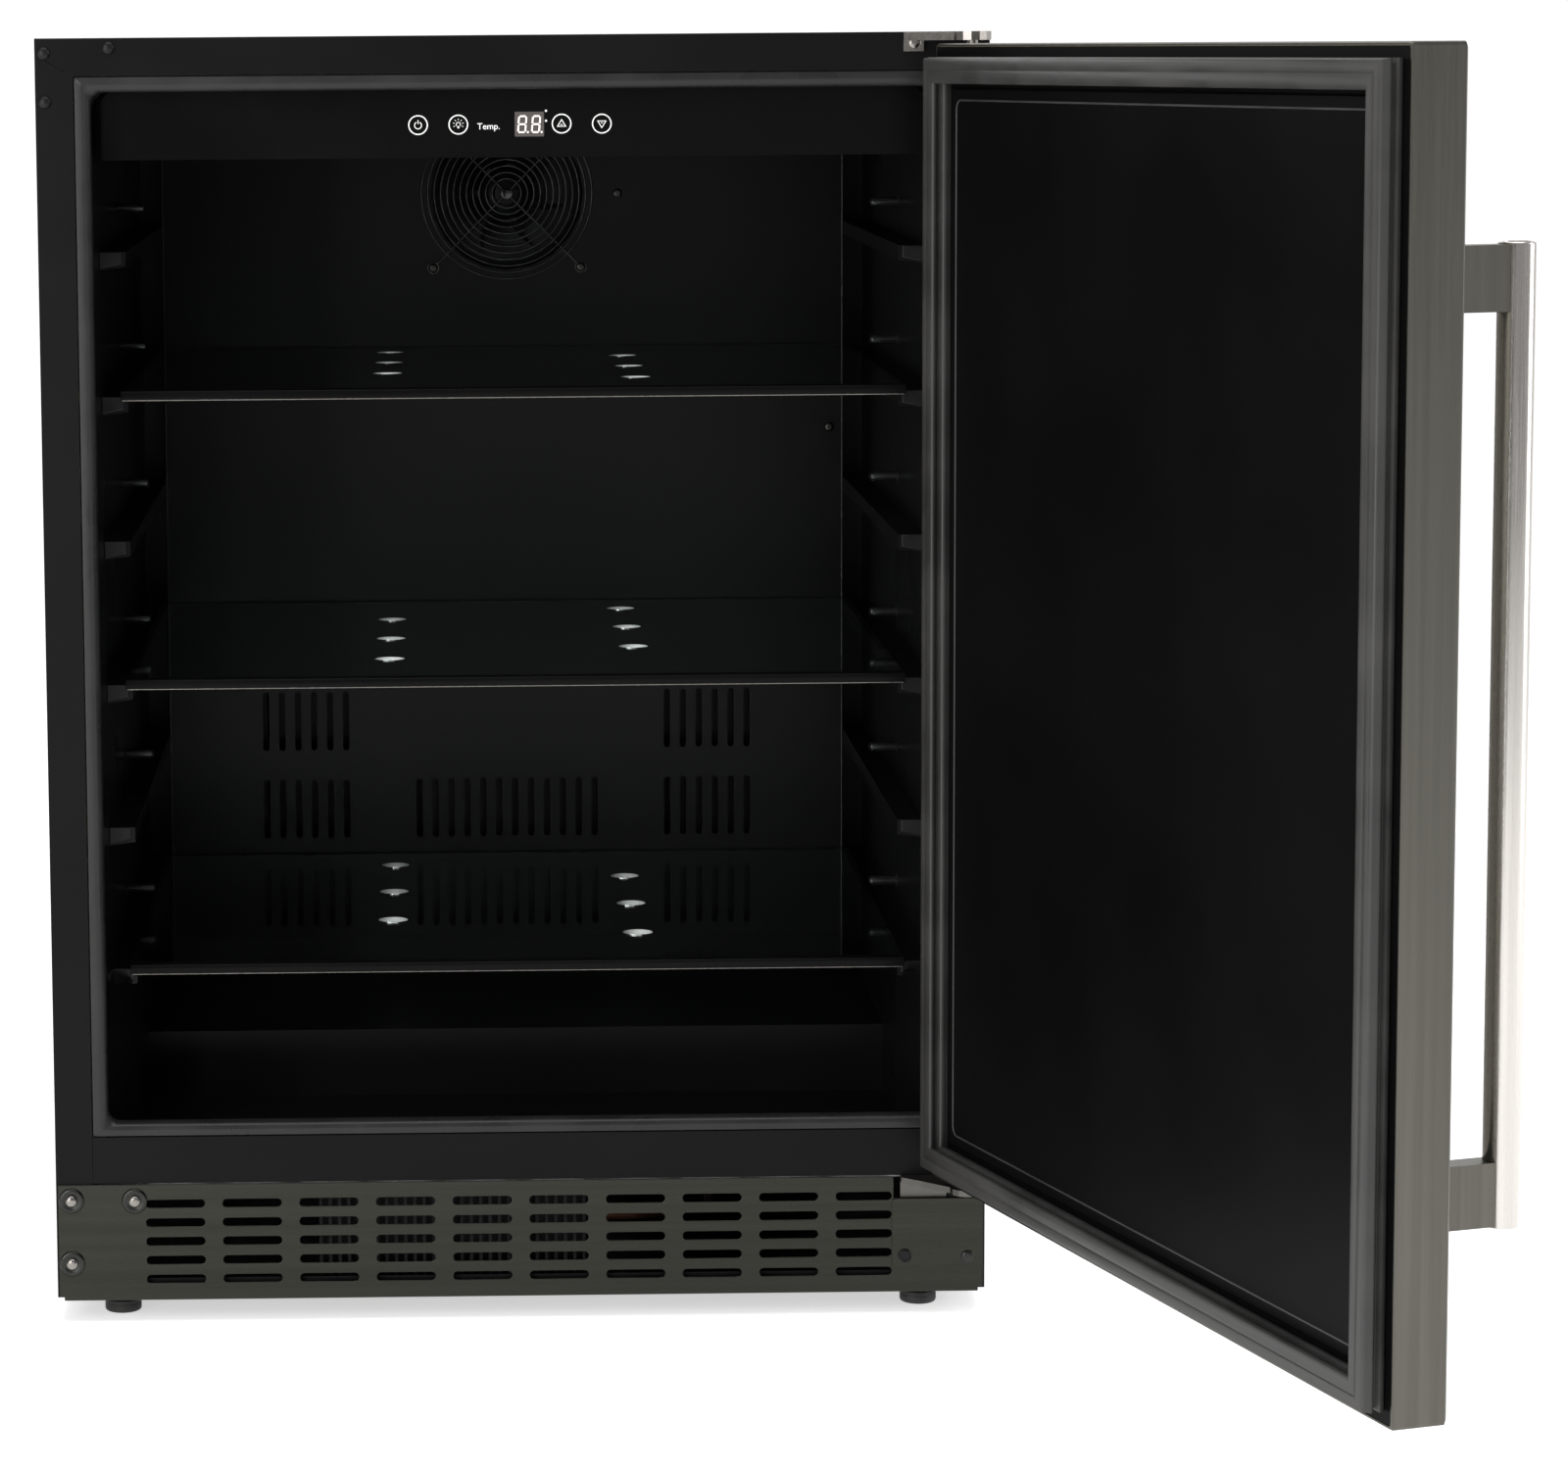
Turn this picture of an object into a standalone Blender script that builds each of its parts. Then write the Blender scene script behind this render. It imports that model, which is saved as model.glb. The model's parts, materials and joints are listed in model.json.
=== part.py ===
"""Undercounter mini fridge with its door open: cabinet, liner, cooling parts, shelves, door and handle.

Cabinet frame, used by every function below: X to the right, Y to the back, Z up, with the front plane of the
cabinet flanges at Y = 0, the floor at Z = 0 and X = 0 in the middle of the cabinet. The empty "cabinet"
moves that frame so that the model's own origin is the bottom centre of its box with the door open.
"""

import math

import bmesh
import bpy
from mathutils import Vector

# --- clearances and resolution -------------------------------------------------------------------------
GAP = 0.0003                     # between two pieces that touch
RUN_GAP = 0.0005                 # between a piece that moves and what it passes
ROUND_STEPS = 20                 # sides of a large round piece
SMALL_STEPS = 12                 # sides of a small round piece
CORNER_STEPS = 3                 # segments of a rounded corner
SHARP_ANGLE = math.radians(35.0)

# --- cabinet wrapper -----------------------------------------------------------------------------------
CABINET_WIDTH = 0.595
CABINET_DEPTH = 0.545
CABINET_TOP = 0.818
SHEET = 0.001                    # thickness of the steel sheets
STILE_WIDTH = 0.0236             # front flange of a side sheet
TOP_FLANGE = 0.0235              # front flange of the top sheet
MITRE_RISE = 0.0133              # how far the corner seam climbs from the opening to the outer edge
KICK_BOTTOM = 0.014
KICK_TOP = 0.090
RAIL_HEIGHT = 0.0303             # the rail under the opening, up from the top of the kick grille
RAIL_RETURN = 0.011

# --- base, deck and machine space ----------------------------------------------------------------------
PAN_BOTTOM = 0.015
PAN_SHEET = 0.0012
PAN_FLANGE = 0.012
PAN_FRONT = 0.004
DECK_UNDER_RAIL = 0.0343         # from the top of the rail down to the front of the deck
DECK_UNDER_FLOOR = 0.025         # from the raised floor down to the deck over the compressor
DECK_STEP = 0.172                # where the deck steps up
DECK_FRONT = 0.0135

# --- liner ---------------------------------------------------------------------------------------------
BEAD_WIDTH = 0.0098
BEAD_DEPTH = 0.0115
BEAD_RADIUS = 0.008
LINER_WALL = 0.002
BACK_FOAM = 0.041                # from the liner's back wall to the back of the cabinet
LINER_RADIUS = 0.012
FLOOR_UNDER_RAIL = 0.0103        # from the top of the rail down to the low floor
FLOOR_RISE = 0.045               # from the low floor up to the raised floor
FLOOR_STEP = 0.160               # front face of the raised floor
RIB_COUNT = 6
RIB_TOP_DROP = 0.1025            # from the ceiling down to the highest rib
RIB_LAST_RISE = 0.0625           # from the raised floor up to the lowest rib
RIB_HEIGHT = 0.012
RIB_SLOPE = 0.0025               # how much lower the rib is at the wall than at its nose
RIB_REACH = 0.0167               # how far a rib stands out of the wall
RIB_FRONT = 0.062
RAMP_START = 0.012               # the lower walls lean in from here ...
RAMP_END = 0.075                 # ... to here

# --- shelves -------------------------------------------------------------------------------------------
SHELF_LEVELS = (1, 3, 5)         # the ribs that carry a shelf, counted from the top
SHELF_SIDE_GAP = 0.013           # from the liner wall to the end of the glass
SHELF_FRONT = 0.060
SHELF_BACK_GAP = 0.004
GLASS = 0.004
GLASS_LIFT = GAP                 # the glass stands this far over its ribs
HOLE_RADIUS = 0.010
HOLE_X = 0.082
HOLE_PITCH = 0.107
HOLE_FIRST = 0.150               # front hole of the forward column
HOLES_PER_COLUMN = 3
TRIM_DEPTH = 0.010
TRIM_DROP = 0.002                # the trim reaches below the glass by this
TRIM_HEIGHT = 0.0066

# --- control strip -------------------------------------------------------------------------------------
STRIP_FRONT = 0.025
STRIP_HEIGHT = 0.0432
STRIP_SIDE_GAP = 0.005
FASCIA = 0.0016
FASCIA_RADIUS = 0.009
HOUSING_DEPTH = 0.075
HOUSING_WALL = 0.002
DISPLAY_X = (0.0014, 0.0198)
DISPLAY_RISE = (0.0129, 0.0284)  # lower and upper end, up from the bottom of the strip
DISPLAY_DEPTH = 0.009
BOARD_SIZE = (0.150, 0.045, 0.0016)
LIGHT_SIZE = (0.240, 0.006, 0.010)

# --- duct panel, evaporator fan and evaporator ---------------------------------------------------------
DUCT_DEPTH = 0.034               # from the panel's face to the liner's back wall
DUCT_WALL = 0.002
SLOT_WIDTH = 0.0046
SLOT_PITCH = 0.0117
SLOT_HEIGHT = 0.0435
SLOT_RISE = (0.1215, 0.1865)     # top ends of the lower and the upper slots, up from the raised floor
SIDE_SLOTS = 6
CENTRE_SLOTS = 12
SIDE_GROUP_X = 0.147
FAN_X = 0.003
FAN_DROP = 0.0803                # from the ceiling down to the fan's centre
GRILLE_RADIUS = 0.060
GRILLE_PLATE = 0.0025
GRILLE_RINGS = 7
GRILLE_HUB = 0.011
RING_WIDTH = 0.0022
SPOKE_WIDTH = 0.0022
FAN_OPENING = 0.0555
ROTOR_RADIUS = 0.050
ROTOR_HUB = 0.019
ROTOR_DEPTH = 0.011
BLADES = 7
SHAFT_RADIUS = 0.002
MOTOR_RADIUS = 0.021
COIL_HALF_WIDTH = 0.155
COIL_RISE = 0.230                # from the raised floor up to the evaporator
COIL_UNDER_FAN = 0.0897          # from the fan's centre down to the evaporator
COIL_DEPTH = 0.022
COIL_WEB = 0.008                 # solid depth behind the fins
COIL_FINS = 20
TROUGH_DROP = (0.035, 0.013)     # lower and upper end, down from the evaporator
SENSOR_SIZE = (0.007, 0.007, 0.035)
SENSOR_ASIDE = 0.012             # from the evaporator's end to the sensor
SENSOR_BEHIND = 0.002            # from the duct panel to the sensor
SENSOR_RISE = 0.095              # from the evaporator's lower end up to the sensor
TROUGH_WALL = 0.0015

# --- pipes ---------------------------------------------------------------------------------------------
PIPE_INSET = 0.016               # pipe centres to the liner's back wall
DRAIN_X = -0.100
DRAIN_RADIUS = 0.006
SUCTION_X = -0.172
SUCTION_RADIUS = 0.004
DISCHARGE_RADIUS = 0.003
DRAIN_BORE = 0.7                 # share of the drain tube's radius
DRAIN_OVER_TRAY = 0.006
PIPE_BEND = 0.010
SUCTION_START = 0.020            # below the evaporator's upper end
SUCTION_DROP = 0.014             # under the raised deck
SUCTION_FORWARD = 0.045          # run forward under the deck before it turns to the compressor
SUCTION_ASIDE = (0.030, 0.040)   # corner beside the compressor, from its shell and from its centre
SUCTION_PORT = 0.050             # up from the compressor's base
DISCHARGE_PORT = 0.030
DISCHARGE_TURNS = (0.030, 0.015, 0.020, 0.008)
PIPE_CLEARANCE = 0.001

# --- machine space -------------------------------------------------------------------------------------
CONDENSER_X = (-0.130, 0.052)
CONDENSER_Y = (0.022, 0.047)
CONDENSER_BOTTOM = 0.020
CONDENSER_UNDER_DECK = 0.010
CONDENSER_FINS = 30
CONDENSER_WEB = 0.010
COOLER_FAN_X = -0.030
COOLER_FAN_DROP = 0.056          # from the deck down to the fan's centre
COOLER_FAN_RADIUS = 0.046
COOLER_HUB = 0.8                 # share of the evaporator fan's hub
COOLER_MOTOR = 0.026             # length of the motor
SHROUD_Y = (0.178, 0.182)
SHROUD_MARGIN = 0.030            # sheet beside the fan opening
BLADE_CLEARANCE = 0.002
LEG_WIDTH = 0.024
LEG_SPAN = (0.006, 0.020)        # front and back of the leg, behind the motor's front
COMPRESSOR_X = 0.125
COMPRESSOR_FROM_BACK = 0.160
COMPRESSOR_RADIUS = 0.066
COMPRESSOR_BOTTOM = 0.026
COMPRESSOR_UNDER_DECK = 0.008
COMPRESSOR_FOOT = (1.1, 0.8)     # half the foot plate, as shares of the shell's radius
RELAY_SIZE = (0.026, 0.050, 0.048)
RELAY_RISE = 0.020
TRAY_X = (-0.215, -0.040)
TRAY_FROM_BACK = (0.205, 0.045)
TRAY_HEIGHT = 0.022

# --- kick grille ---------------------------------------------------------------------------------------
KICK_SHEET = 0.0012
KICK_SIDE_GAP = 0.0013
KICK_COLUMNS = 10
KICK_ROWS = 5
KICK_ROW_ENDS = (0.0574, 0.0581) # cabinet's left and right side to the ends of the slot rows
KICK_WEB = 0.0115                # steel left between two slots of a row
KICK_FIRST_DROP = 0.013          # top of the grille down to the middle of the highest row
KICK_PITCH_Z = 0.0123
KICK_SLOT_HEIGHT = 0.0052
NOTCH_WIDTH = 0.0587             # notch for the hinge, in from the cabinet's side
NOTCH_DROP = 0.0145
COVER_PLATE_DROP = 0.0148
COVER_PLATE_BOTTOM = 0.0280
COVER_PLATE_SHEET = 0.001
CUP_UPPER_DROP = (0.0105, 0.0110)
CUP_LOWER_Z = 0.0384
CUP_INSETS = (0.0098, 0.0502, 0.0097)
CUP_RADIUS = 0.0082
PLUG_AT = (0.0514, 0.0380)       # in from the cabinet's side, and up
COVER_SCREW_AT = (0.0110, 0.0369)

# --- feet ----------------------------------------------------------------------------------------------
FOOT_INSET = 0.0398
FOOT_FROM_FRONT = 0.030
FOOT_FROM_BACK = 0.040
FOOT_RADIUS = 0.0118
FOOT_HEIGHT = 0.008
STEM_RADIUS = 0.004
STEM_TOP = 0.034

# --- door ----------------------------------------------------------------------------------------------
DOOR_SIDE_GAP = 0.0025           # cabinet's side to the door's edge
DOOR_LIFT = 0.0062               # top of the kick grille to the door's lower end
DOOR_DROP = 0.0074               # cabinet top down to the door's upper end
DOOR_GAP = 0.014                 # from the cabinet front to the door's inner face when closed
DOOR_THICKNESS = 0.0323
DOOR_SKIN = 0.0012
DOOR_HEM = 0.0018                # how far the folded edge laps over the door's inner face
DOOR_CORNER = 0.002
DOOR_BEVEL = 0.0015
DOOR_OPEN = math.radians(107.6)
PIN_INSET = 0.0123               # hinge pin to the door's hinge edge
PIN_FORWARD = 0.019              # hinge pin in front of the door's inner face
PIN_RADIUS = 0.0035
PIN_REACH = 0.012
PANEL_INSET = 0.0265
PANEL_RISE = 0.0015
GASKET_OUTER = 0.008             # distances from the door's edge
GASKET_INNER = 0.025
GASKET_FLANK = 0.0025            # depth of the bellows fold
GASKET_CLEAR = 0.0006            # left between the closed gasket and the cabinet

# --- handle --------------------------------------------------------------------------------------------
HANDLE_INSET = 0.042             # bar axis to the door's latch edge
HANDLE_STANDOFF = 0.0538         # bar axis to the door's front face
BAR_RADIUS = 0.010
BAR_LIFT = 0.0918                # door's lower end to the bar's lower end
BAR_DROP = 0.1031                # door's upper end to the bar's upper end
POST_WIDTH = 0.014
POST_HEIGHT = 0.0346
POST_SETBACK = 0.0013            # bar end past the post

# --- hinges --------------------------------------------------------------------------------------------
HINGE_INSETS = (0.0541, 0.0030)  # cabinet's side to the arm's inner and outer edge
HINGE_SHEET = 0.0025
TOP_ARM_SHEET = 0.0054
TOP_PLATE_DROP = 0.0122
TOP_PLATE_INSET = 0.0415
BOTTOM_ARM_SHEET = 0.0038
BOTTOM_LEG_INSET = 0.0245
BOTTOM_LEG_BOTTOM = 0.040
HINGE_NOSE = 0.0112              # radius of the arm round its pin

# --- mains inlet and rear cover ------------------------------------------------------------------------
REAR_COVER_BOTTOM = 0.020
REAR_COVER_DROP = 0.0015         # from the deck down to the cover's upper edge
REAR_SLOTS = 8
REAR_SLOT_RISE = (0.035, 0.065)  # the two rows, up from the cover's lower edge
REAR_SLOT_HEIGHT = 0.006
REAR_SLOT_SHARE = 0.7            # of the pitch
REAR_SLOT_START = 0.35           # first slot left of the middle, as a share of half the cover
INLET_AT = (-0.215, 0.060)
INLET_RADIUS = 0.009
INLET_PROUD = 0.008

# --- worked out from the sizes above -------------------------------------------------------------------
HALF_WIDTH = CABINET_WIDTH / 2
OPENING_HALF = HALF_WIDTH - STILE_WIDTH                  # inner edge of the side flanges
OPENING_TOP = CABINET_TOP - TOP_FLANGE
RAIL_TOP = KICK_TOP + RAIL_HEIGHT
FLOOR_LOW = RAIL_TOP - FLOOR_UNDER_RAIL
FLOOR_HIGH = FLOOR_LOW + FLOOR_RISE
DECK_LOW = RAIL_TOP - DECK_UNDER_RAIL
DECK_HIGH = FLOOR_HIGH - DECK_UNDER_FLOOR

LINER_HALF = OPENING_HALF - BEAD_WIDTH - GAP             # inner face of the liner's side walls
LINER_TOP = OPENING_TOP - BEAD_WIDTH + GAP
LINER_FRONT = BEAD_DEPTH + GAP
LINER_BACK = CABINET_DEPTH - BACK_FOAM                   # inner face of the liner's back wall
RIB_TOP = LINER_TOP - RIB_TOP_DROP
RIB_PITCH = (RIB_TOP - FLOOR_HIGH - RIB_LAST_RISE) / (RIB_COUNT - 1)
RIB_NOSE = LINER_HALF - RIB_REACH
STRIP_HALF = LINER_HALF - STRIP_SIDE_GAP
STRIP_TOP = LINER_TOP - GAP
STRIP_BOTTOM = STRIP_TOP - STRIP_HEIGHT

DUCT_FRONT = LINER_BACK - DUCT_DEPTH
DUCT_BACK = DUCT_FRONT + DUCT_WALL
FAN_Z = LINER_TOP - FAN_DROP
COIL_Z = (FLOOR_HIGH + COIL_RISE, FAN_Z - COIL_UNDER_FAN)
TROUGH_Z = (COIL_Z[0] - TROUGH_DROP[0], COIL_Z[0] - TROUGH_DROP[1])
PIPE_Y = LINER_BACK - PIPE_INSET
SHELF_HALF = LINER_HALF - SHELF_SIDE_GAP
SHELF_BACK = DUCT_FRONT - SHELF_BACK_GAP

CONDENSER_Z = (CONDENSER_BOTTOM, DECK_LOW - CONDENSER_UNDER_DECK)
COOLER_FAN_Z = DECK_HIGH - COOLER_FAN_DROP
COMPRESSOR_AT = (COMPRESSOR_X, CABINET_DEPTH - COMPRESSOR_FROM_BACK)
COMPRESSOR_Z = (COMPRESSOR_BOTTOM, DECK_HIGH - COMPRESSOR_UNDER_DECK)
TRAY_Y = (CABINET_DEPTH - TRAY_FROM_BACK[0], CABINET_DEPTH - TRAY_FROM_BACK[1])
FOOT_X = HALF_WIDTH - FOOT_INSET
FOOT_Y = (FOOT_FROM_FRONT, CABINET_DEPTH - FOOT_FROM_BACK)

KICK_FIRST_X = KICK_ROW_ENDS[0] - HALF_WIDTH
KICK_PITCH_X = (CABINET_WIDTH - sum(KICK_ROW_ENDS) + KICK_WEB) / KICK_COLUMNS
NOTCH_X = HALF_WIDTH - NOTCH_WIDTH

DOOR_EDGE = HALF_WIDTH - DOOR_SIDE_GAP
DOOR_BOTTOM = KICK_TOP + DOOR_LIFT
DOOR_TOP = CABINET_TOP - DOOR_DROP
DOOR_BACK = -DOOR_GAP
DOOR_FRONT = DOOR_BACK - DOOR_THICKNESS
PIVOT = Vector((DOOR_EDGE - PIN_INSET, DOOR_BACK - PIN_FORWARD, 0.0))
BAR_AT = (-DOOR_EDGE + HANDLE_INSET, DOOR_FRONT - HANDLE_STANDOFF)
BAR_Z = (DOOR_BOTTOM + BAR_LIFT, DOOR_TOP - BAR_DROP)

HINGE_LEFT = HALF_WIDTH - HINGE_INSETS[0]
HINGE_RIGHT = HALF_WIDTH - HINGE_INSETS[1]
TOP_ARM = (CABINET_TOP - TOP_ARM_SHEET, CABINET_TOP)
BOTTOM_ARM = (KICK_TOP - BOTTOM_ARM_SHEET, KICK_TOP)


def opened(x, y):
    """Where a point of the closed door lies once the door stands open."""
    dx = x - PIVOT.x
    dy = y - PIVOT.y
    cos = math.cos(DOOR_OPEN)
    sin = math.sin(DOOR_OPEN)
    return PIVOT.x + dx * cos - dy * sin, PIVOT.y + dx * sin + dy * cos


def origin_offset():
    """Move of the cabinet frame that puts the origin at the bottom centre of the whole box."""
    right = opened(*BAR_AT)[0] + BAR_RADIUS
    front = opened(-DOOR_EDGE, DOOR_BACK)[1]
    back = CABINET_DEPTH + INLET_PROUD
    return Vector((-(right - HALF_WIDTH) / 2, -(front + back) / 2, 0.0))


# --- outlines ------------------------------------------------------------------------------------------
def arc(centre, radius, start, end, steps):
    """Points on an arc, both ends included, with the angles in radians."""
    points = []
    for i in range(steps + 1):
        angle = start + (end - start) * i / steps
        points.append((centre[0] + radius * math.cos(angle), centre[1] + radius * math.sin(angle)))
    return points


def circle(centre, radius, steps):
    return arc(centre, radius, 0.0, 2 * math.pi * (steps - 1) / steps, steps - 1)


def rectangle(low, high):
    return [(low[0], low[1]), (high[0], low[1]), (high[0], high[1]), (low[0], high[1])]


def rounded(low, high, radius, steps=CORNER_STEPS):
    """Anticlockwise rectangle with four rounded corners."""
    right, top = high[0] - radius, high[1] - radius
    left, bottom = low[0] + radius, low[1] + radius
    quarter = math.pi / 2
    points = []
    for number, centre in enumerate(((right, top), (left, top), (left, bottom), (right, bottom))):
        points += arc(centre, radius, number * quarter, (number + 1) * quarter, steps)
    return points


def slot(left, bottom, length, height, steps):
    """Horizontal slot with half-round ends."""
    radius = height / 2
    middle = bottom + radius
    half = math.pi / 2
    points = arc((left + length - radius, middle), radius, -half, half, steps)
    return points + arc((left + radius, middle), radius, half, 3 * half, steps)


# --- meshes --------------------------------------------------------------------------------------------
def lift(point, axis, along):
    """Put an outline point into space: the outline lies in the plane across the axis."""
    if axis == "X":
        return (along, point[0], point[1])
    if axis == "Y":
        return (point[0], along, point[1])
    return (point[0], point[1], along)


def add_object(name, bm, material, parent, location=(0.0, 0.0, 0.0), smooth=False):
    bmesh.ops.recalc_face_normals(bm, faces=bm.faces)
    mesh = bpy.data.meshes.new(name)
    bm.to_mesh(mesh)
    bm.free()
    mesh.materials.append(material)
    if smooth:
        mesh.shade_smooth()
        mesh.set_sharp_from_angle(angle=SHARP_ANGLE)
    obj = bpy.data.objects.new(name, mesh)
    obj.parent = parent
    obj.location = location
    bpy.context.collection.objects.link(obj)
    return obj


def add_plate(bm, outline, holes, axis, start, end):
    """Plate between two planes with any number of holes through it."""
    edges = []
    for loop in [outline] + list(holes):
        verts = [bm.verts.new(lift(point, axis, start)) for point in loop]
        for i, vert in enumerate(verts):
            edges.append(bm.edges.new((vert, verts[(i + 1) % len(verts)])))
    filled = bmesh.ops.triangle_fill(bm, edges=edges, use_beauty=True)
    faces = [item for item in filled["geom"] if isinstance(item, bmesh.types.BMFace)]
    grown = bmesh.ops.extrude_face_region(bm, geom=faces)
    moved = [item for item in grown["geom"] if isinstance(item, bmesh.types.BMVert)]
    bmesh.ops.translate(bm, verts=moved, vec=lift((0.0, 0.0), axis, end - start))


def plate(name, outline, axis, span, material, parent, holes=(), location=(0.0, 0.0, 0.0)):
    bm = bmesh.new()
    add_plate(bm, outline, holes, axis, span[0], span[1])
    return add_object(name, bm, material, parent, location)


def add_box(bm, low, high):
    add_plate(bm, rectangle(low[:2], high[:2]), (), "Z", low[2], high[2])


def box(name, low, high, material, parent):
    bm = bmesh.new()
    add_box(bm, low, high)
    return add_object(name, bm, material, parent)


def loft(name, loops, material, parent, ring=False, smooth=False):
    """Skin a row of loops with equal counts. A ring joins the last loop to the first; else both ends close."""
    bm = bmesh.new()
    rows = [[bm.verts.new(point) for point in loop] for loop in loops]
    count = len(rows[0])
    pairs = list(zip(rows, rows[1:]))
    if ring:
        pairs.append((rows[-1], rows[0]))
    for first, second in pairs:
        for i in range(count):
            j = (i + 1) % count
            bm.faces.new((first[i], first[j], second[j], second[i]))
    if not ring:
        bm.faces.new(rows[0])
        bm.faces.new(rows[-1])
    return add_object(name, bm, material, parent, smooth=smooth)


def turned(name, profile, axis, centre, material, parent, steps=ROUND_STEPS, location=(0.0, 0.0, 0.0)):
    """Solid of revolution from (along, radius) points whose first and last radius are not zero."""
    loops = []
    for along, radius in profile:
        loops.append([lift(point, axis, along) for point in circle(centre, radius, steps)])
    obj = loft(name, loops, material, parent, smooth=True)
    obj.location = location
    return obj


def pipe(name, points, radius, material, parent):
    """Round pipe along a few smooth bends."""
    curve = bpy.data.curves.new(name, "CURVE")
    curve.dimensions = "3D"
    curve.bevel_depth = radius
    curve.bevel_resolution = 2
    curve.use_fill_caps = True
    spline = curve.splines.new("POLY")
    spline.points.add(len(points) - 1)
    for knot, point in zip(spline.points, points):
        knot.co = (*point, 1.0)
    curve.materials.append(material)
    obj = bpy.data.objects.new(name, curve)
    obj.parent = parent
    bpy.context.collection.objects.link(obj)
    return obj


def bend(points, radius, steps=4):
    """Round the corners of a path of straight runs."""
    path = [Vector(points[0])]
    for before, corner, after in zip(points, points[1:], points[2:]):
        corner = Vector(corner)
        start = corner + (Vector(before) - corner).normalized() * radius
        end = corner + (Vector(after) - corner).normalized() * radius
        for i in range(steps + 1):
            share = i / steps
            path.append(start.lerp(corner, share).lerp(corner.lerp(end, share), share))
    path.append(Vector(points[-1]))
    return path


def combine(obj, other, operation):
    """Cut another mesh out of an object, or join it on; the other one is only a guide."""
    other.hide_render = True
    other.display_type = "WIRE"
    modifier = obj.modifiers.new(other.name, "BOOLEAN")
    modifier.operation = operation
    modifier.solver = "EXACT"
    modifier.object = other


def cut(obj, other):
    combine(obj, other, "DIFFERENCE")


def join(obj, other):
    combine(obj, other, "UNION")


# --- materials -----------------------------------------------------------------------------------------
def make_material(name, colour, roughness, metallic=0.0):
    material = bpy.data.materials.new(name)
    material.use_nodes = True
    shader = material.node_tree.nodes["Principled BSDF"]
    shader.inputs["Base Color"].default_value = (*colour, 1.0)
    shader.inputs["Roughness"].default_value = roughness
    shader.inputs["Metallic"].default_value = metallic
    return material


def make_materials():
    return {
        "painted": make_material("painted_steel", (0.012, 0.012, 0.013), 0.45),
        "liner": make_material("liner_plastic", (0.010, 0.010, 0.011), 0.35),
        "bead": make_material("bead_plastic", (0.060, 0.060, 0.062), 0.30),
        "brushed": make_material("brushed_steel", (0.45, 0.44, 0.42), 0.32, 1.0),
        "kick": make_material("kick_steel", (0.16, 0.16, 0.145), 0.38, 1.0),
        "bright": make_material("bright_steel", (0.62, 0.61, 0.59), 0.22, 1.0),
        "zinc": make_material("zinc_sheet", (0.42, 0.43, 0.45), 0.45, 1.0),
        "foam": make_material("foam", (0.72, 0.62, 0.40), 0.9),
        "glass": make_material("tempered_glass", (0.55, 0.65, 0.62), 0.05),
        "trim": make_material("trim_plastic", (0.015, 0.015, 0.016), 0.30),
        "gasket": make_material("gasket_rubber", (0.035, 0.035, 0.037), 0.55),
        "rubber": make_material("rubber", (0.02, 0.02, 0.02), 0.7),
        "copper": make_material("copper", (0.72, 0.35, 0.20), 0.35, 1.0),
        "aluminium": make_material("aluminium", (0.70, 0.71, 0.72), 0.35, 1.0),
        "enamel": make_material("black_enamel", (0.02, 0.02, 0.02), 0.3),
        "board": make_material("circuit_board", (0.02, 0.14, 0.06), 0.5),
        "lamp": make_material("lamp_diffuser", (0.85, 0.87, 0.90), 0.4),
        "grey": make_material("grey_plastic", (0.25, 0.25, 0.26), 0.5),
    }


# --- cabinet wrapper -----------------------------------------------------------------------------------
def mitre_guide(name, parent, side, above):
    """Wedge over or under the corner seam of the front flanges, on one side of the cabinet."""
    overhang = 0.002
    inner = OPENING_HALF - overhang
    outer = HALF_WIDTH + overhang
    slope = MITRE_RISE / STILE_WIDTH
    seam_inner = OPENING_TOP - overhang * slope
    seam_outer = OPENING_TOP + (STILE_WIDTH + overhang) * slope
    if above:
        far = CABINET_TOP + overhang
        shift = -GAP / 2
    else:
        far = OPENING_TOP - TOP_FLANGE
        shift = GAP / 2
    outline = [
        (side * inner, seam_inner + shift),
        (side * outer, seam_outer + shift),
        (side * outer, far),
        (side * inner, far),
    ]
    return plate(name, outline, "Y", (-overhang, SHEET + GAP), guide_material(), parent)


def guide_material():
    return bpy.data.materials.get("guide") or make_material("guide", (0.8, 0.2, 0.2), 0.8)


def build_cabinet_sides(mats, root):
    for side, word in ((-1, "left"), (1, "right")):
        outline = [
            (side * HALF_WIDTH, 0.0),
            (side * OPENING_HALF, 0.0),
            (side * OPENING_HALF, SHEET),
            (side * (HALF_WIDTH - SHEET), SHEET),
            (side * (HALF_WIDTH - SHEET), CABINET_DEPTH),
            (side * HALF_WIDTH, CABINET_DEPTH),
        ]
        span = (PAN_BOTTOM + SHEET, CABINET_TOP - SHEET - GAP)
        panel = plate("cabinet_side_" + word, outline, "Z", span, mats["painted"], root)
        cut(panel, mitre_guide("mitre_guide_side_" + word, root, side, True))


def build_cabinet_top(mats, root):
    outline = [
        (0.0, CABINET_TOP),
        (CABINET_DEPTH, CABINET_TOP),
        (CABINET_DEPTH, CABINET_TOP - SHEET),
        (SHEET, CABINET_TOP - SHEET),
        (SHEET, OPENING_TOP),
        (0.0, OPENING_TOP),
    ]
    top = plate("cabinet_top", outline, "X", (-HALF_WIDTH, HALF_WIDTH), mats["painted"], root)
    for side, word in ((-1, "left"), (1, "right")):
        cut(top, mitre_guide("mitre_guide_top_" + word, root, side, False))


def build_cabinet_back(mats, root):
    half = HALF_WIDTH - SHEET - GAP
    back = CABINET_DEPTH
    low = (-half, back - SHEET, DECK_HIGH + SHEET + GAP)
    high = (half, back, CABINET_TOP - SHEET - GAP)
    box("cabinet_back", low, high, mats["zinc"], root)


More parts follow.
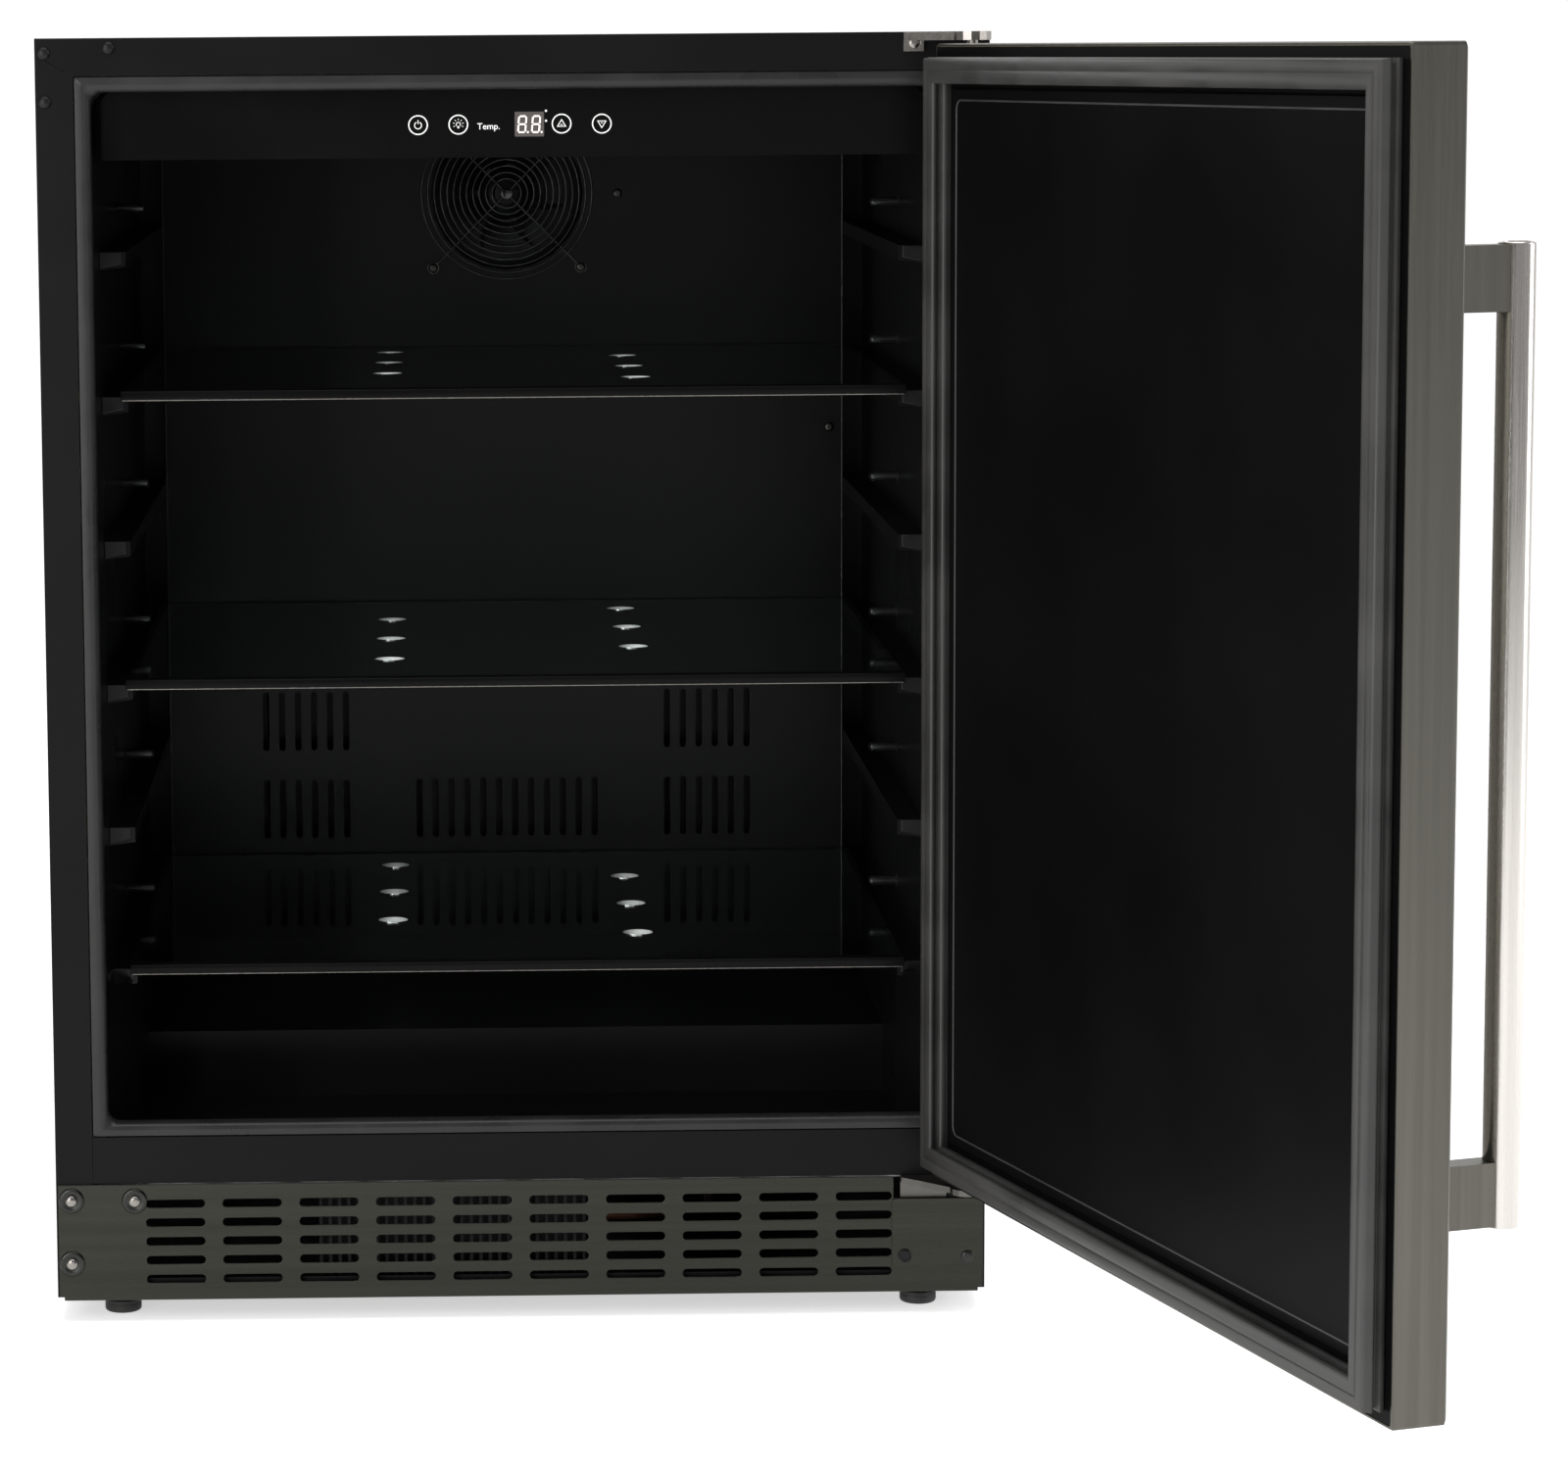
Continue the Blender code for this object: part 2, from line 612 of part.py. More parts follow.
def build_front_rail(mats, root):
    bottom = KICK_TOP + GAP
    outline = [
        (0.0, bottom),
        (0.0, RAIL_TOP),
        (SHEET, RAIL_TOP),
        (SHEET, bottom + SHEET),
        (RAIL_RETURN, bottom + SHEET),
        (RAIL_RETURN, bottom),
    ]
    half = OPENING_HALF - GAP
    plate("front_lower_rail", outline, "X", (-half, half), mats["painted"], root)


# --- base, deck and insulation -------------------------------------------------------------------------
def build_base_pan(mats, root):
    back = CABINET_DEPTH - SHEET - GAP - PAN_SHEET
    floor = PAN_BOTTOM + PAN_SHEET
    lip = PAN_BOTTOM + PAN_FLANGE
    outline = [
        (PAN_FRONT, PAN_BOTTOM),
        (back, PAN_BOTTOM),
        (back, lip),
        (back - PAN_SHEET, lip),
        (back - PAN_SHEET, floor),
        (PAN_FRONT + PAN_SHEET, floor),
        (PAN_FRONT + PAN_SHEET, lip),
        (PAN_FRONT, lip),
    ]
    half = HALF_WIDTH - SHEET - GAP
    pan = plate("base_pan", outline, "X", (-half, half), mats["zinc"], root)
    bm = bmesh.new()
    for x in (-FOOT_X, FOOT_X):
        for y in FOOT_Y:
            hole = circle((x, y), STEM_RADIUS + RUN_GAP, SMALL_STEPS)
            add_plate(bm, hole, (), "Z", PAN_BOTTOM - SHEET, floor + SHEET)
    cut(pan, add_object("stem_holes", bm, guide_material(), root))


def deck_outline(low, high, front, back, offset):
    """Stepped sheet line, seen from the side, offset upwards and forwards from the deck's underside."""
    return [
        (front, low + offset),
        (DECK_STEP - offset, low + offset),
        (DECK_STEP - offset, high + offset),
        (back, high + offset),
    ]


def pipe_holes(name, parent, clearance):
    """Two upright cutters for the pipes that go down into the machine space."""
    bm = bmesh.new()
    for x, radius in ((DRAIN_X, DRAIN_RADIUS), (SUCTION_X, SUCTION_RADIUS)):
        hole = circle((x, PIPE_Y), radius + clearance, SMALL_STEPS)
        add_plate(bm, hole, (), "Z", DECK_HIGH - SHEET, FLOOR_HIGH + SHEET)
    return add_object(name, bm, guide_material(), parent)


def build_machine_deck(mats, root):
    back = CABINET_DEPTH - SHEET - GAP
    under = deck_outline(DECK_LOW, DECK_HIGH, DECK_FRONT, back, 0.0)
    over = deck_outline(DECK_LOW, DECK_HIGH, DECK_FRONT, back, SHEET)
    half = HALF_WIDTH - SHEET - GAP
    deck = plate("machine_deck", under + over[::-1], "X", (-half, half), mats["zinc"], root)
    cut(deck, pipe_holes("deck_holes", root, PIPE_CLEARANCE))


def liner_side_outline(grow):
    """Side view of the liner: straight top and back, with the floor stepping up over the compressor."""
    return [
        (LINER_FRONT - grow, FLOOR_LOW - LINER_WALL - grow),
        (FLOOR_STEP + LINER_WALL + grow, FLOOR_LOW - LINER_WALL - grow),
        (FLOOR_STEP + LINER_WALL + grow, FLOOR_HIGH - LINER_WALL - grow),
        (LINER_BACK + LINER_WALL + grow, FLOOR_HIGH - LINER_WALL - grow),
        (LINER_BACK + LINER_WALL + grow, LINER_TOP + LINER_WALL + grow),
        (LINER_FRONT - grow, LINER_TOP + LINER_WALL + grow),
    ]


def build_insulation(mats, root):
    front = LINER_FRONT + GAP
    back = CABINET_DEPTH - SHEET - GAP
    half = HALF_WIDTH - SHEET - GAP
    top = CABINET_TOP - SHEET - GAP
    step = DECK_STEP - SHEET - GAP
    low = DECK_LOW + SHEET + GAP
    high = DECK_HIGH + SHEET + GAP
    outline = [(front, low), (step, low), (step, high), (back, high), (back, top), (front, top)]
    foam = plate("insulation_foam", outline, "X", (-half, half), mats["foam"], root)
    reach = LINER_HALF + LINER_WALL + GAP
    hollow = liner_side_outline(GAP)
    hollow[0] = (front - LINER_WALL, hollow[0][1])
    hollow[-1] = (front - LINER_WALL, hollow[-1][1])
    cut(foam, plate("foam_hollow", hollow, "X", (-reach, reach), guide_material(), root))
    cut(foam, pipe_holes("foam_holes", root, PIPE_CLEARANCE))


# --- liner and bead ------------------------------------------------------------------------------------
def build_bead(mats, root):
    """Rolled frame between the steel flanges and the opening."""
    outer_low = (-OPENING_HALF + GAP, RAIL_TOP + GAP)
    outer_high = (OPENING_HALF - GAP, OPENING_TOP - GAP)
    bottom_share = 0.85          # the bead is a little narrower along the bottom
    section = (
        (0.0, 0.0010, 0.0012),
        (0.0018, 0.0002, 0.0020),
        (0.0046, 0.0002, 0.0040),
        (0.0080, 0.0022, 0.0065),
        (BEAD_WIDTH, 0.0060, BEAD_RADIUS),
        (BEAD_WIDTH, BEAD_DEPTH, BEAD_RADIUS),
        (0.0, BEAD_DEPTH, 0.0012),
    )
    loops = []
    for inset, depth, radius in section:
        low = (outer_low[0] + inset, outer_low[1] + inset * bottom_share)
        high = (outer_high[0] - inset, outer_high[1] - inset)
        loops.append([lift(point, "Y", depth) for point in rounded(low, high, radius)])
    loft("front_bead_frame", loops, mats["bead"], root, ring=True, smooth=True)


def rib_tops():
    return [RIB_TOP - RIB_PITCH * i for i in range(RIB_COUNT)]


def liner_ribs(root):
    """All the ribs as one guide, each a little sunk into its wall."""
    bm = bmesh.new()
    sunk = LINER_WALL / 2
    for top in rib_tops():
        for side in (-1, 1):
            outline = [
                (side * (LINER_HALF + sunk), top),
                (side * RIB_NOSE, top),
                (side * RIB_NOSE, top - RIB_HEIGHT + RIB_SLOPE),
                (side * (LINER_HALF + sunk), top - RIB_HEIGHT),
            ]
            add_plate(bm, outline, (), "Y", RIB_FRONT, LINER_BACK + sunk)
    return add_object("liner_ribs", bm, guide_material(), root)


def build_liner(mats, root):
    reach = LINER_HALF + LINER_WALL
    liner = plate("inner_liner", liner_side_outline(0.0), "X", (-reach, reach), mats["liner"], root)
    overhang = 0.01
    ledge = rib_tops()[-1] - RIB_HEIGHT / 2
    upper = rounded((-LINER_HALF, ledge), (LINER_HALF, LINER_TOP), LINER_RADIUS)
    upper_cut = plate("liner_upper_hollow", upper, "Y", (-overhang, LINER_BACK), guide_material(), root)
    cut(liner, upper_cut)
    plan = [
        (-LINER_HALF, -overhang),
        (LINER_HALF, -overhang),
        (LINER_HALF, RAMP_START),
        (RIB_NOSE, RAMP_END),
        (RIB_NOSE, LINER_BACK),
        (-RIB_NOSE, LINER_BACK),
        (-RIB_NOSE, RAMP_END),
        (-LINER_HALF, RAMP_START),
    ]
    above = ledge + LINER_RADIUS * 2
    cut(liner, plate("liner_lower_hollow", plan, "Z", (FLOOR_HIGH, above), guide_material(), root))
    front = [point if point[1] < FLOOR_STEP else (point[0], FLOOR_STEP) for point in plan]
    front_cut = plate("liner_front_hollow", front, "Z", (FLOOR_LOW, above), guide_material(), root)
    cut(liner, front_cut)
    join(liner, liner_ribs(root))
    cut(liner, pipe_holes("liner_holes", root, PIPE_CLEARANCE))


# --- control strip -------------------------------------------------------------------------------------
def build_control_strip(mats, root):
    low = (-STRIP_HALF, STRIP_BOTTOM)
    high = (STRIP_HALF, STRIP_TOP)
    outline = rounded(low, high, FASCIA_RADIUS)
    outline = outline[:2 * (CORNER_STEPS + 1)] + [low, (STRIP_HALF, STRIP_BOTTOM)]
    span = (STRIP_FRONT, STRIP_FRONT + FASCIA)
    plate("control_fascia", outline, "Y", span, mats["liner"], root)

    front = STRIP_FRONT + FASCIA + GAP
    back = STRIP_FRONT + HOUSING_DEPTH
    top = STRIP_TOP - FASCIA_RADIUS
    wall = HOUSING_WALL
    trough = [
        (front, top),
        (front, STRIP_BOTTOM),
        (back, STRIP_BOTTOM),
        (back, top),
        (back - wall, top),
        (back - wall, STRIP_BOTTOM + wall),
        (front + wall, STRIP_BOTTOM + wall),
        (front + wall, top),
    ]
    half = STRIP_HALF - wall
    housing = plate("control_housing", trough, "X", (-half, half), mats["liner"], root)
    display_z = [STRIP_BOTTOM + rise for rise in DISPLAY_RISE]
    window_low = (DISPLAY_X[0] - GAP, front - wall, display_z[0] - GAP)
    window_high = (DISPLAY_X[1] + GAP, front + 2 * wall, display_z[1] + GAP)
    cut(housing, box("display_window", window_low, window_high, guide_material(), root))

    display_low = (DISPLAY_X[0], front, display_z[0])
    display_high = (DISPLAY_X[1], front + DISPLAY_DEPTH, display_z[1])
    box("display_module", display_low, display_high, mats["grey"], root)

    width, depth, thick = BOARD_SIZE
    board_front = front + DISPLAY_DEPTH + GAP
    board_bottom = STRIP_BOTTOM + wall + GAP
    board_high = (width / 2, board_front + depth, board_bottom + thick)
    box("control_board", (-width / 2, board_front, board_bottom), board_high, mats["board"], root)

    length, deep, tall = LIGHT_SIZE
    light_low = (-length / 2, back + GAP, STRIP_BOTTOM + GAP)
    light_high = (length / 2, back + GAP + deep, STRIP_BOTTOM + GAP + tall)
    box("interior_light", light_low, light_high, mats["lamp"], root)


# --- duct panel, fan and evaporator --------------------------------------------------------------------
def duct_slots():
    """Slot groups of the duct panel: two rows at each side and one row in the middle."""
    holes = []
    heights = [FLOOR_HIGH + rise for rise in SLOT_RISE]
    groups = (
        (-SIDE_GROUP_X, SIDE_SLOTS, heights),
        (SIDE_GROUP_X, SIDE_SLOTS, heights),
        (0.0, CENTRE_SLOTS, heights[:1]),
    )
    for centre, count, rows in groups:
        first = centre - (count - 1) * SLOT_PITCH / 2
        for top in rows:
            for i in range(count):
                x = first + i * SLOT_PITCH
                low = (x - SLOT_WIDTH / 2, top - SLOT_HEIGHT)
                high = (x + SLOT_WIDTH / 2, top)
                holes.append(rounded(low, high, SLOT_WIDTH * 0.45, 2))
    return holes


def build_duct_panel(mats, root):
    half = RIB_NOSE - GAP
    low = (-half, FLOOR_HIGH + GAP)
    high = (half, LINER_TOP - LINER_RADIUS)
    holes = duct_slots() + [circle((FAN_X, FAN_Z), FAN_OPENING, ROUND_STEPS)]
    plate("duct_panel", rectangle(low, high), "Y", (DUCT_FRONT, DUCT_BACK), mats["liner"], root, holes)


def grille_holes():
    """Curved windows between the rings, in four quarters split by diagonal spokes."""
    holes = []
    pitch = (GRILLE_RADIUS - GRILLE_HUB) / GRILLE_RINGS
    for ring in range(GRILLE_RINGS):
        inner = GRILLE_HUB + ring * pitch
        outer = inner + pitch - RING_WIDTH
        steps = 3 + ring // 2
        for quarter in range(4):
            start = math.pi / 4 + quarter * math.pi / 2
            end = start + math.pi / 2
            inner_trim = math.asin(SPOKE_WIDTH / 2 / inner)
            outer_trim = math.asin(SPOKE_WIDTH / 2 / outer)
            window = arc((FAN_X, FAN_Z), outer, start + outer_trim, end - outer_trim, steps)
            window += arc((FAN_X, FAN_Z), inner, end - inner_trim, start + inner_trim, steps)
            holes.append(window)
    return holes


def rotor_outline(hub, tip, blades):
    """Flat fan wheel: swept blades round a hub."""
    points = []
    step = 2 * math.pi / blades
    for i in range(blades):
        at = i * step
        points.append((hub * math.cos(at), hub * math.sin(at)))
        points.append((tip * 0.6 * math.cos(at + step * 0.10), tip * 0.6 * math.sin(at + step * 0.10)))
        points += arc((0.0, 0.0), tip, at + step * 0.32, at + step * 0.82, 3)
        points.append((tip * 0.6 * math.cos(at + step * 0.62), tip * 0.6 * math.sin(at + step * 0.62)))
        points.append((hub * math.cos(at + step * 0.45), hub * math.sin(at + step * 0.45)))
    return points


def build_evaporator_fan(mats, root):
    front = DUCT_FRONT - GAP - GRILLE_PLATE
    rim = circle((FAN_X, FAN_Z), GRILLE_RADIUS, 2 * ROUND_STEPS)
    span = (front, front + GRILLE_PLATE)
    plate("fan_grille", rim, "Y", span, mats["trim"], root, grille_holes())

    rotor_front = DUCT_BACK + RUN_GAP
    bore = circle((0.0, 0.0), SHAFT_RADIUS + GAP, SMALL_STEPS)
    outline = rotor_outline(ROTOR_HUB, ROTOR_RADIUS, BLADES)
    at = (FAN_X, rotor_front, FAN_Z)
    plate("evaporator_fan_rotor", outline, "Y", (0.0, ROTOR_DEPTH), mats["trim"], root, [bore], at)

    motor_front = rotor_front + ROTOR_DEPTH + RUN_GAP
    motor_back = LINER_BACK - GAP
    profile = (
        (rotor_front + RUN_GAP, SHAFT_RADIUS),
        (motor_front, SHAFT_RADIUS),
        (motor_front, MOTOR_RADIUS),
        (motor_back, MOTOR_RADIUS),
    )
    turned("evaporator_fan_motor", profile, "Y", (FAN_X, FAN_Z), mats["grey"], root)


def comb_outline(left, right, front, back, count, web, fin_share=0.35):
    """Fins standing forward from a thin web, seen along the fins."""
    pitch = (right - left) / count
    points = [(left, back), (left, front)]
    for i in range(count):
        start = left + i * pitch
        fin_end = start + pitch * fin_share
        points.append((fin_end, front))
        if i < count - 1:
            points.append((fin_end, back - web))
            points.append((start + pitch, back - web))
            points.append((start + pitch, front))
    points.append((points[-1][0], back))
    return points


def build_evaporator(mats, root):
    front = DUCT_BACK + PIPE_CLEARANCE
    outline = comb_outline(-COIL_HALF_WIDTH, COIL_HALF_WIDTH, front, front + COIL_DEPTH, COIL_FINS, COIL_WEB)
    plate("evaporator", outline, "Z", COIL_Z, mats["aluminium"], root)

    half = COIL_HALF_WIDTH
    deep = (DUCT_BACK + RUN_GAP, LINER_BACK - RUN_GAP)
    trough = box("drain_trough", (-half, deep[0], TROUGH_Z[0]), (half, deep[1], TROUGH_Z[1]), mats["grey"], root)
    wall = TROUGH_WALL
    low = (-half + wall, deep[0] + wall, TROUGH_Z[0] + wall)
    high = (half - wall, deep[1] - wall, TROUGH_Z[1] + wall)
    cut(trough, box("trough_hollow", low, high, guide_material(), root))
    drain = circle((DRAIN_X, PIPE_Y), DRAIN_RADIUS * DRAIN_BORE, SMALL_STEPS)
    span = (TROUGH_Z[0] - wall, TROUGH_Z[0] + 2 * wall)
    cut(trough, plate("trough_drain_hole", drain, "Z", span, guide_material(), root))

    sensor_low = Vector((half + SENSOR_ASIDE, deep[0] + SENSOR_BEHIND, COIL_Z[0] + SENSOR_RISE))
    box("temperature_sensor", sensor_low, sensor_low + Vector(SENSOR_SIZE), mats["grey"], root)


def build_pipes(mats, root):
    tray_mouth = PAN_BOTTOM + PAN_SHEET + TRAY_HEIGHT
    top = TROUGH_Z[0] - GAP
    span = (tray_mouth + DRAIN_OVER_TRAY, top)
    outer = circle((DRAIN_X, PIPE_Y), DRAIN_RADIUS, SMALL_STEPS)
    inner = circle((DRAIN_X, PIPE_Y), DRAIN_RADIUS * DRAIN_BORE, SMALL_STEPS)
    plate("drain_tube", outer, "Z", span, mats["grey"], root, [inner])

    x, y = COMPRESSOR_AT
    low = DECK_HIGH - SUCTION_DROP
    port = COMPRESSOR_Z[0] + SUCTION_PORT
    aside = x - COMPRESSOR_RADIUS - SUCTION_ASIDE[0]
    suction = bend(
        (
            (SUCTION_X, PIPE_Y, COIL_Z[1] - SUCTION_START),
            (SUCTION_X, PIPE_Y, low),
            (SUCTION_X, PIPE_Y - SUCTION_FORWARD, low),
            (aside, y + SUCTION_ASIDE[1], low),
            (aside, y, port),
            (x - COMPRESSOR_RADIUS - SUCTION_RADIUS, y, port),
        ),
        PIPE_BEND,
    )
    pipe("suction_line", suction, SUCTION_RADIUS, mats["copper"], root)

    line = COMPRESSOR_Z[0] + DISCHARGE_PORT
    behind, before, aside, inlet = DISCHARGE_TURNS
    discharge = bend(
        (
            (x, y - COMPRESSOR_RADIUS - DISCHARGE_RADIUS - 2 * PIPE_CLEARANCE, line),
            (x, SHROUD_Y[0] - behind, line),
            (x, CONDENSER_Y[1] + before, line),
            (CONDENSER_X[1] + DISCHARGE_RADIUS + aside, CONDENSER_Y[1] - inlet, line),
            (CONDENSER_X[1] + GAP, CONDENSER_Y[1] - inlet, line),
        ),
        PIPE_BEND,
    )
    pipe("discharge_line", discharge, DISCHARGE_RADIUS, mats["copper"], root)


# --- machine space -------------------------------------------------------------------------------------
def build_condenser(mats, root):
    outline = comb_outline(*CONDENSER_X, *CONDENSER_Y, CONDENSER_FINS, CONDENSER_WEB)
    plate("condenser", outline, "Z", CONDENSER_Z, mats["aluminium"], root)

    centre = (COOLER_FAN_X, COOLER_FAN_Z)
    bottom = PAN_BOTTOM + PAN_SHEET + GAP
    half = COOLER_FAN_RADIUS + SHROUD_MARGIN
    outline = rectangle((centre[0] - half, bottom), (centre[0] + half, DECK_HIGH - GAP))
    opening = circle(centre, COOLER_FAN_RADIUS + BLADE_CLEARANCE, ROUND_STEPS)
    plate("condenser_shroud", outline, "Y", SHROUD_Y, mats["trim"], root, [opening])

    front = SHROUD_Y[1] + RUN_GAP
    bore = circle((0.0, 0.0), SHAFT_RADIUS + GAP, SMALL_STEPS)
    outline = rotor_outline(ROTOR_HUB * COOLER_HUB, COOLER_FAN_RADIUS, BLADES)
    at = (centre[0], front, centre[1])
    plate("condenser_fan_rotor", outline, "Y", (0.0, ROTOR_DEPTH), mats["trim"], root, [bore], at)
    behind = front + ROTOR_DEPTH + RUN_GAP
    profile = (
        (front + RUN_GAP, SHAFT_RADIUS),
        (behind, SHAFT_RADIUS),
        (behind, MOTOR_RADIUS),
        (behind + COOLER_MOTOR, MOTOR_RADIUS),
    )
    motor = turned("condenser_fan_motor", profile, "Y", centre, mats["grey"], root)
    leg_low = (centre[0] - LEG_WIDTH / 2, behind + LEG_SPAN[0], bottom)
    leg_high = (centre[0] + LEG_WIDTH / 2, behind + LEG_SPAN[1], centre[1])
    join(motor, box("motor_leg", leg_low, leg_high, guide_material(), root))


def build_compressor(mats, root):
    x, y = COMPRESSOR_AT
    low, high = COMPRESSOR_Z
    radius = COMPRESSOR_RADIUS
    middle = (low + high) / 2
    profile = (
        (low, radius * 0.55),
        (low + 0.006, radius * 0.85),
        (low + 0.018, radius * 0.98),
        (middle - 0.004, radius * 0.98),
        (middle - 0.004, radius),
        (middle + 0.004, radius),
        (middle + 0.004, radius * 0.96),
        (high - 0.018, radius * 0.93),
        (high - 0.006, radius * 0.72),
        (high, radius * 0.35),
    )
    shell = turned("compressor", profile, "Z", (x, y), mats["enamel"], root)
    floor = PAN_BOTTOM + PAN_SHEET + GAP
    wide, deep = (radius * share for share in COMPRESSOR_FOOT)
    foot_low = (x - wide, y - deep, floor)
    foot_high = (x + wide, y + deep, low + 0.003)
    join(shell, box("compressor_foot", foot_low, foot_high, guide_material(), root))

    relay_low = Vector((x + radius + GAP, y - RELAY_SIZE[1] / 2, low + RELAY_RISE))
    box("compressor_relay", relay_low, relay_low + Vector(RELAY_SIZE), mats["trim"], root)

    low = (TRAY_X[0], TRAY_Y[0], floor)
    high = (TRAY_X[1], TRAY_Y[1], floor + TRAY_HEIGHT)
    tray = box("evaporation_tray", low, high, mats["grey"], root)
    wall = TROUGH_WALL
    inner_low = (low[0] + wall, low[1] + wall, low[2] + wall)
    inner_high = (high[0] - wall, high[1] - wall, high[2] + wall)
    cut(tray, box("tray_hollow", inner_low, inner_high, guide_material(), root))


def build_rear_cover(mats, root):
    half = HALF_WIDTH - SHEET - GAP
    outline = rectangle((-half, REAR_COVER_BOTTOM), (half, DECK_HIGH - REAR_COVER_DROP))
    holes = []
    pitch = half / REAR_SLOTS
    for rise in REAR_SLOT_RISE:
        for i in range(REAR_SLOTS):
            left = i * pitch - half * REAR_SLOT_START
            bottom = REAR_COVER_BOTTOM + rise
            holes.append(slot(left, bottom, pitch * REAR_SLOT_SHARE, REAR_SLOT_HEIGHT, 2))
    holes.append(circle(INLET_AT, INLET_RADIUS + GAP, SMALL_STEPS))
    back = CABINET_DEPTH
    plate("rear_machine_cover", outline, "Y", (back - SHEET, back), mats["zinc"], root, holes)
    profile = (
        (back - 0.020, INLET_RADIUS * 0.9),
        (back - SHEET - GAP, INLET_RADIUS),
        (back + GAP, INLET_RADIUS),
        (back + GAP, INLET_RADIUS * 1.3),
        (back + INLET_PROUD * 0.5, INLET_RADIUS * 1.3),
        (back + INLET_PROUD, INLET_RADIUS * 0.7),
    )
    turned("mains_inlet", profile, "Y", INLET_AT, mats["trim"], root, SMALL_STEPS)


# --- kick grille and feet ------------------------------------------------------------------------------
def build_kick_grille(mats, root):
    half = HALF_WIDTH - KICK_SIDE_GAP
    corner = 0.003
    outline = [
        (-half, KICK_BOTTOM + corner),
        (-half + corner, KICK_BOTTOM),
        (half - corner, KICK_BOTTOM),
        (half, KICK_BOTTOM + corner),
        (half, KICK_TOP - NOTCH_DROP),
        (NOTCH_X, KICK_TOP - NOTCH_DROP),
        (NOTCH_X, KICK_TOP - GAP),
        (-half, KICK_TOP - GAP),
    ]
    holes = []
    length = KICK_PITCH_X - KICK_WEB
    height = KICK_SLOT_HEIGHT
    for column in range(KICK_COLUMNS):
        for row in range(KICK_ROWS):
            left = KICK_FIRST_X + column * KICK_PITCH_X
            middle = KICK_TOP - KICK_FIRST_DROP - row * KICK_PITCH_Z
            run = min(length, NOTCH_X - 0.001 - left)
            holes.append(slot(left, middle - height / 2, run, height, 3))
    back = -GAP
    front = back - KICK_SHEET
    plate("kick_grille", outline, "Y", (front, back), mats["kick"], root, holes)

    cover_back = front - GAP
    cover_front = cover_back - COVER_PLATE_SHEET
    low = (NOTCH_X - 0.001, COVER_PLATE_BOTTOM)
    high = (HALF_WIDTH - KICK_SIDE_GAP, KICK_TOP - COVER_PLATE_DROP)
    plate("hinge_cover_plate", rounded(low, high, 0.002), "Y", (cover_front, cover_back), mats["kick"], root)

    heights = (KICK_TOP - CUP_UPPER_DROP[0], KICK_TOP - CUP_UPPER_DROP[1], CUP_LOWER_Z)
    for number, (inset, height) in enumerate(zip(CUP_INSETS, heights), start=1):
        centre = (inset - HALF_WIDTH, height)
        profile = (
            (front - GAP, CUP_RADIUS),
            (front - GAP - 0.0012, CUP_RADIUS * 0.93),
            (front - GAP - 0.0016, CUP_RADIUS * 0.60),
            (front - GAP - 0.0028, CUP_RADIUS * 0.45),
            (front - GAP - 0.0034, CUP_RADIUS * 0.22),
        )
        turned("kick_screw_%d" % number, profile, "Y", centre, mats["bright"], root, SMALL_STEPS)
    screws = (("hinge_cover_screw", COVER_SCREW_AT, "bright"), ("hinge_cover_plug", PLUG_AT, "rubber"))
    for name, (inset, height), finish in screws:
        centre = (HALF_WIDTH - inset, height)
        profile = (
            (cover_front - GAP, 0.0042),
            (cover_front - GAP - 0.0010, 0.0040),
            (cover_front - GAP - 0.0018, 0.0024),
        )
        turned(name, profile, "Y", centre, mats[finish], root, SMALL_STEPS)


def build_feet(mats, root):
    names = (("foot_front_left", -1, 0), ("foot_front_right", 1, 0))
    names += (("foot_back_left", -1, 1), ("foot_back_right", 1, 1))
    profile = (
        (0.0, FOOT_RADIUS * 0.90),
        (0.0015, FOOT_RADIUS),
        (FOOT_HEIGHT - 0.001, FOOT_RADIUS),
        (FOOT_HEIGHT, FOOT_RADIUS * 0.9),
        (FOOT_HEIGHT, STEM_RADIUS),
        (STEM_TOP, STEM_RADIUS),
    )
    for name, side, row in names:
        at = (side * FOOT_X, FOOT_Y[row], 0.0)
        turned(name, profile, "Z", (0.0, 0.0), mats["rubber"], root, SMALL_STEPS, at)


# --- shelves -------------------------------------------------------------------------------------------
def build_shelves(mats, root):
    for number, level in enumerate(SHELF_LEVELS, start=1):
        carrier = bpy.data.objects.new("shelf_%d" % number, None)
        carrier.parent = root
        carrier.location = (0.0, SHELF_FRONT, rib_tops()[level] + GLASS_LIFT)
        bpy.context.collection.objects.link(carrier)
        depth = SHELF_BACK - SHELF_FRONT
        outline = rectangle((-SHELF_HALF, 0.0), (SHELF_HALF, depth))
        holes = []
        turned_over = -1 if number == 2 else 1
        for column, shift in ((turned_over, 0.0), (-turned_over, HOLE_PITCH / 2)):
            for row in range(HOLES_PER_COLUMN):
                y = HOLE_FIRST - SHELF_FRONT + shift + row * HOLE_PITCH
                holes.append(circle((column * HOLE_X, y), HOLE_RADIUS, SMALL_STEPS))
        plate("shelf_%d_glass" % number, outline, "Z", (0.0, GLASS), mats["glass"], carrier, holes)
        front = -GAP - TRIM_DEPTH
        bottom = -TRIM_DROP
        top = TRIM_HEIGHT - TRIM_DROP
        edge = 0.0012
        section = [
            (-GAP, bottom),
            (-GAP, top),
            (front + edge, top),
            (front, top - edge),
            (front, bottom + edge),
            (front + edge, bottom),
        ]
        span = (-SHELF_HALF, SHELF_HALF)
        plate("shelf_%d_trim" % number, section, "X", span, mats["trim"], carrier)


# --- hinges --------------------------------------------------------------------------------------------
def pin(name, root, low, high):
    outline = circle((PIVOT.x, PIVOT.y), PIN_RADIUS, SMALL_STEPS)
    return plate(name, outline, "Z", (low, high), guide_material(), root)


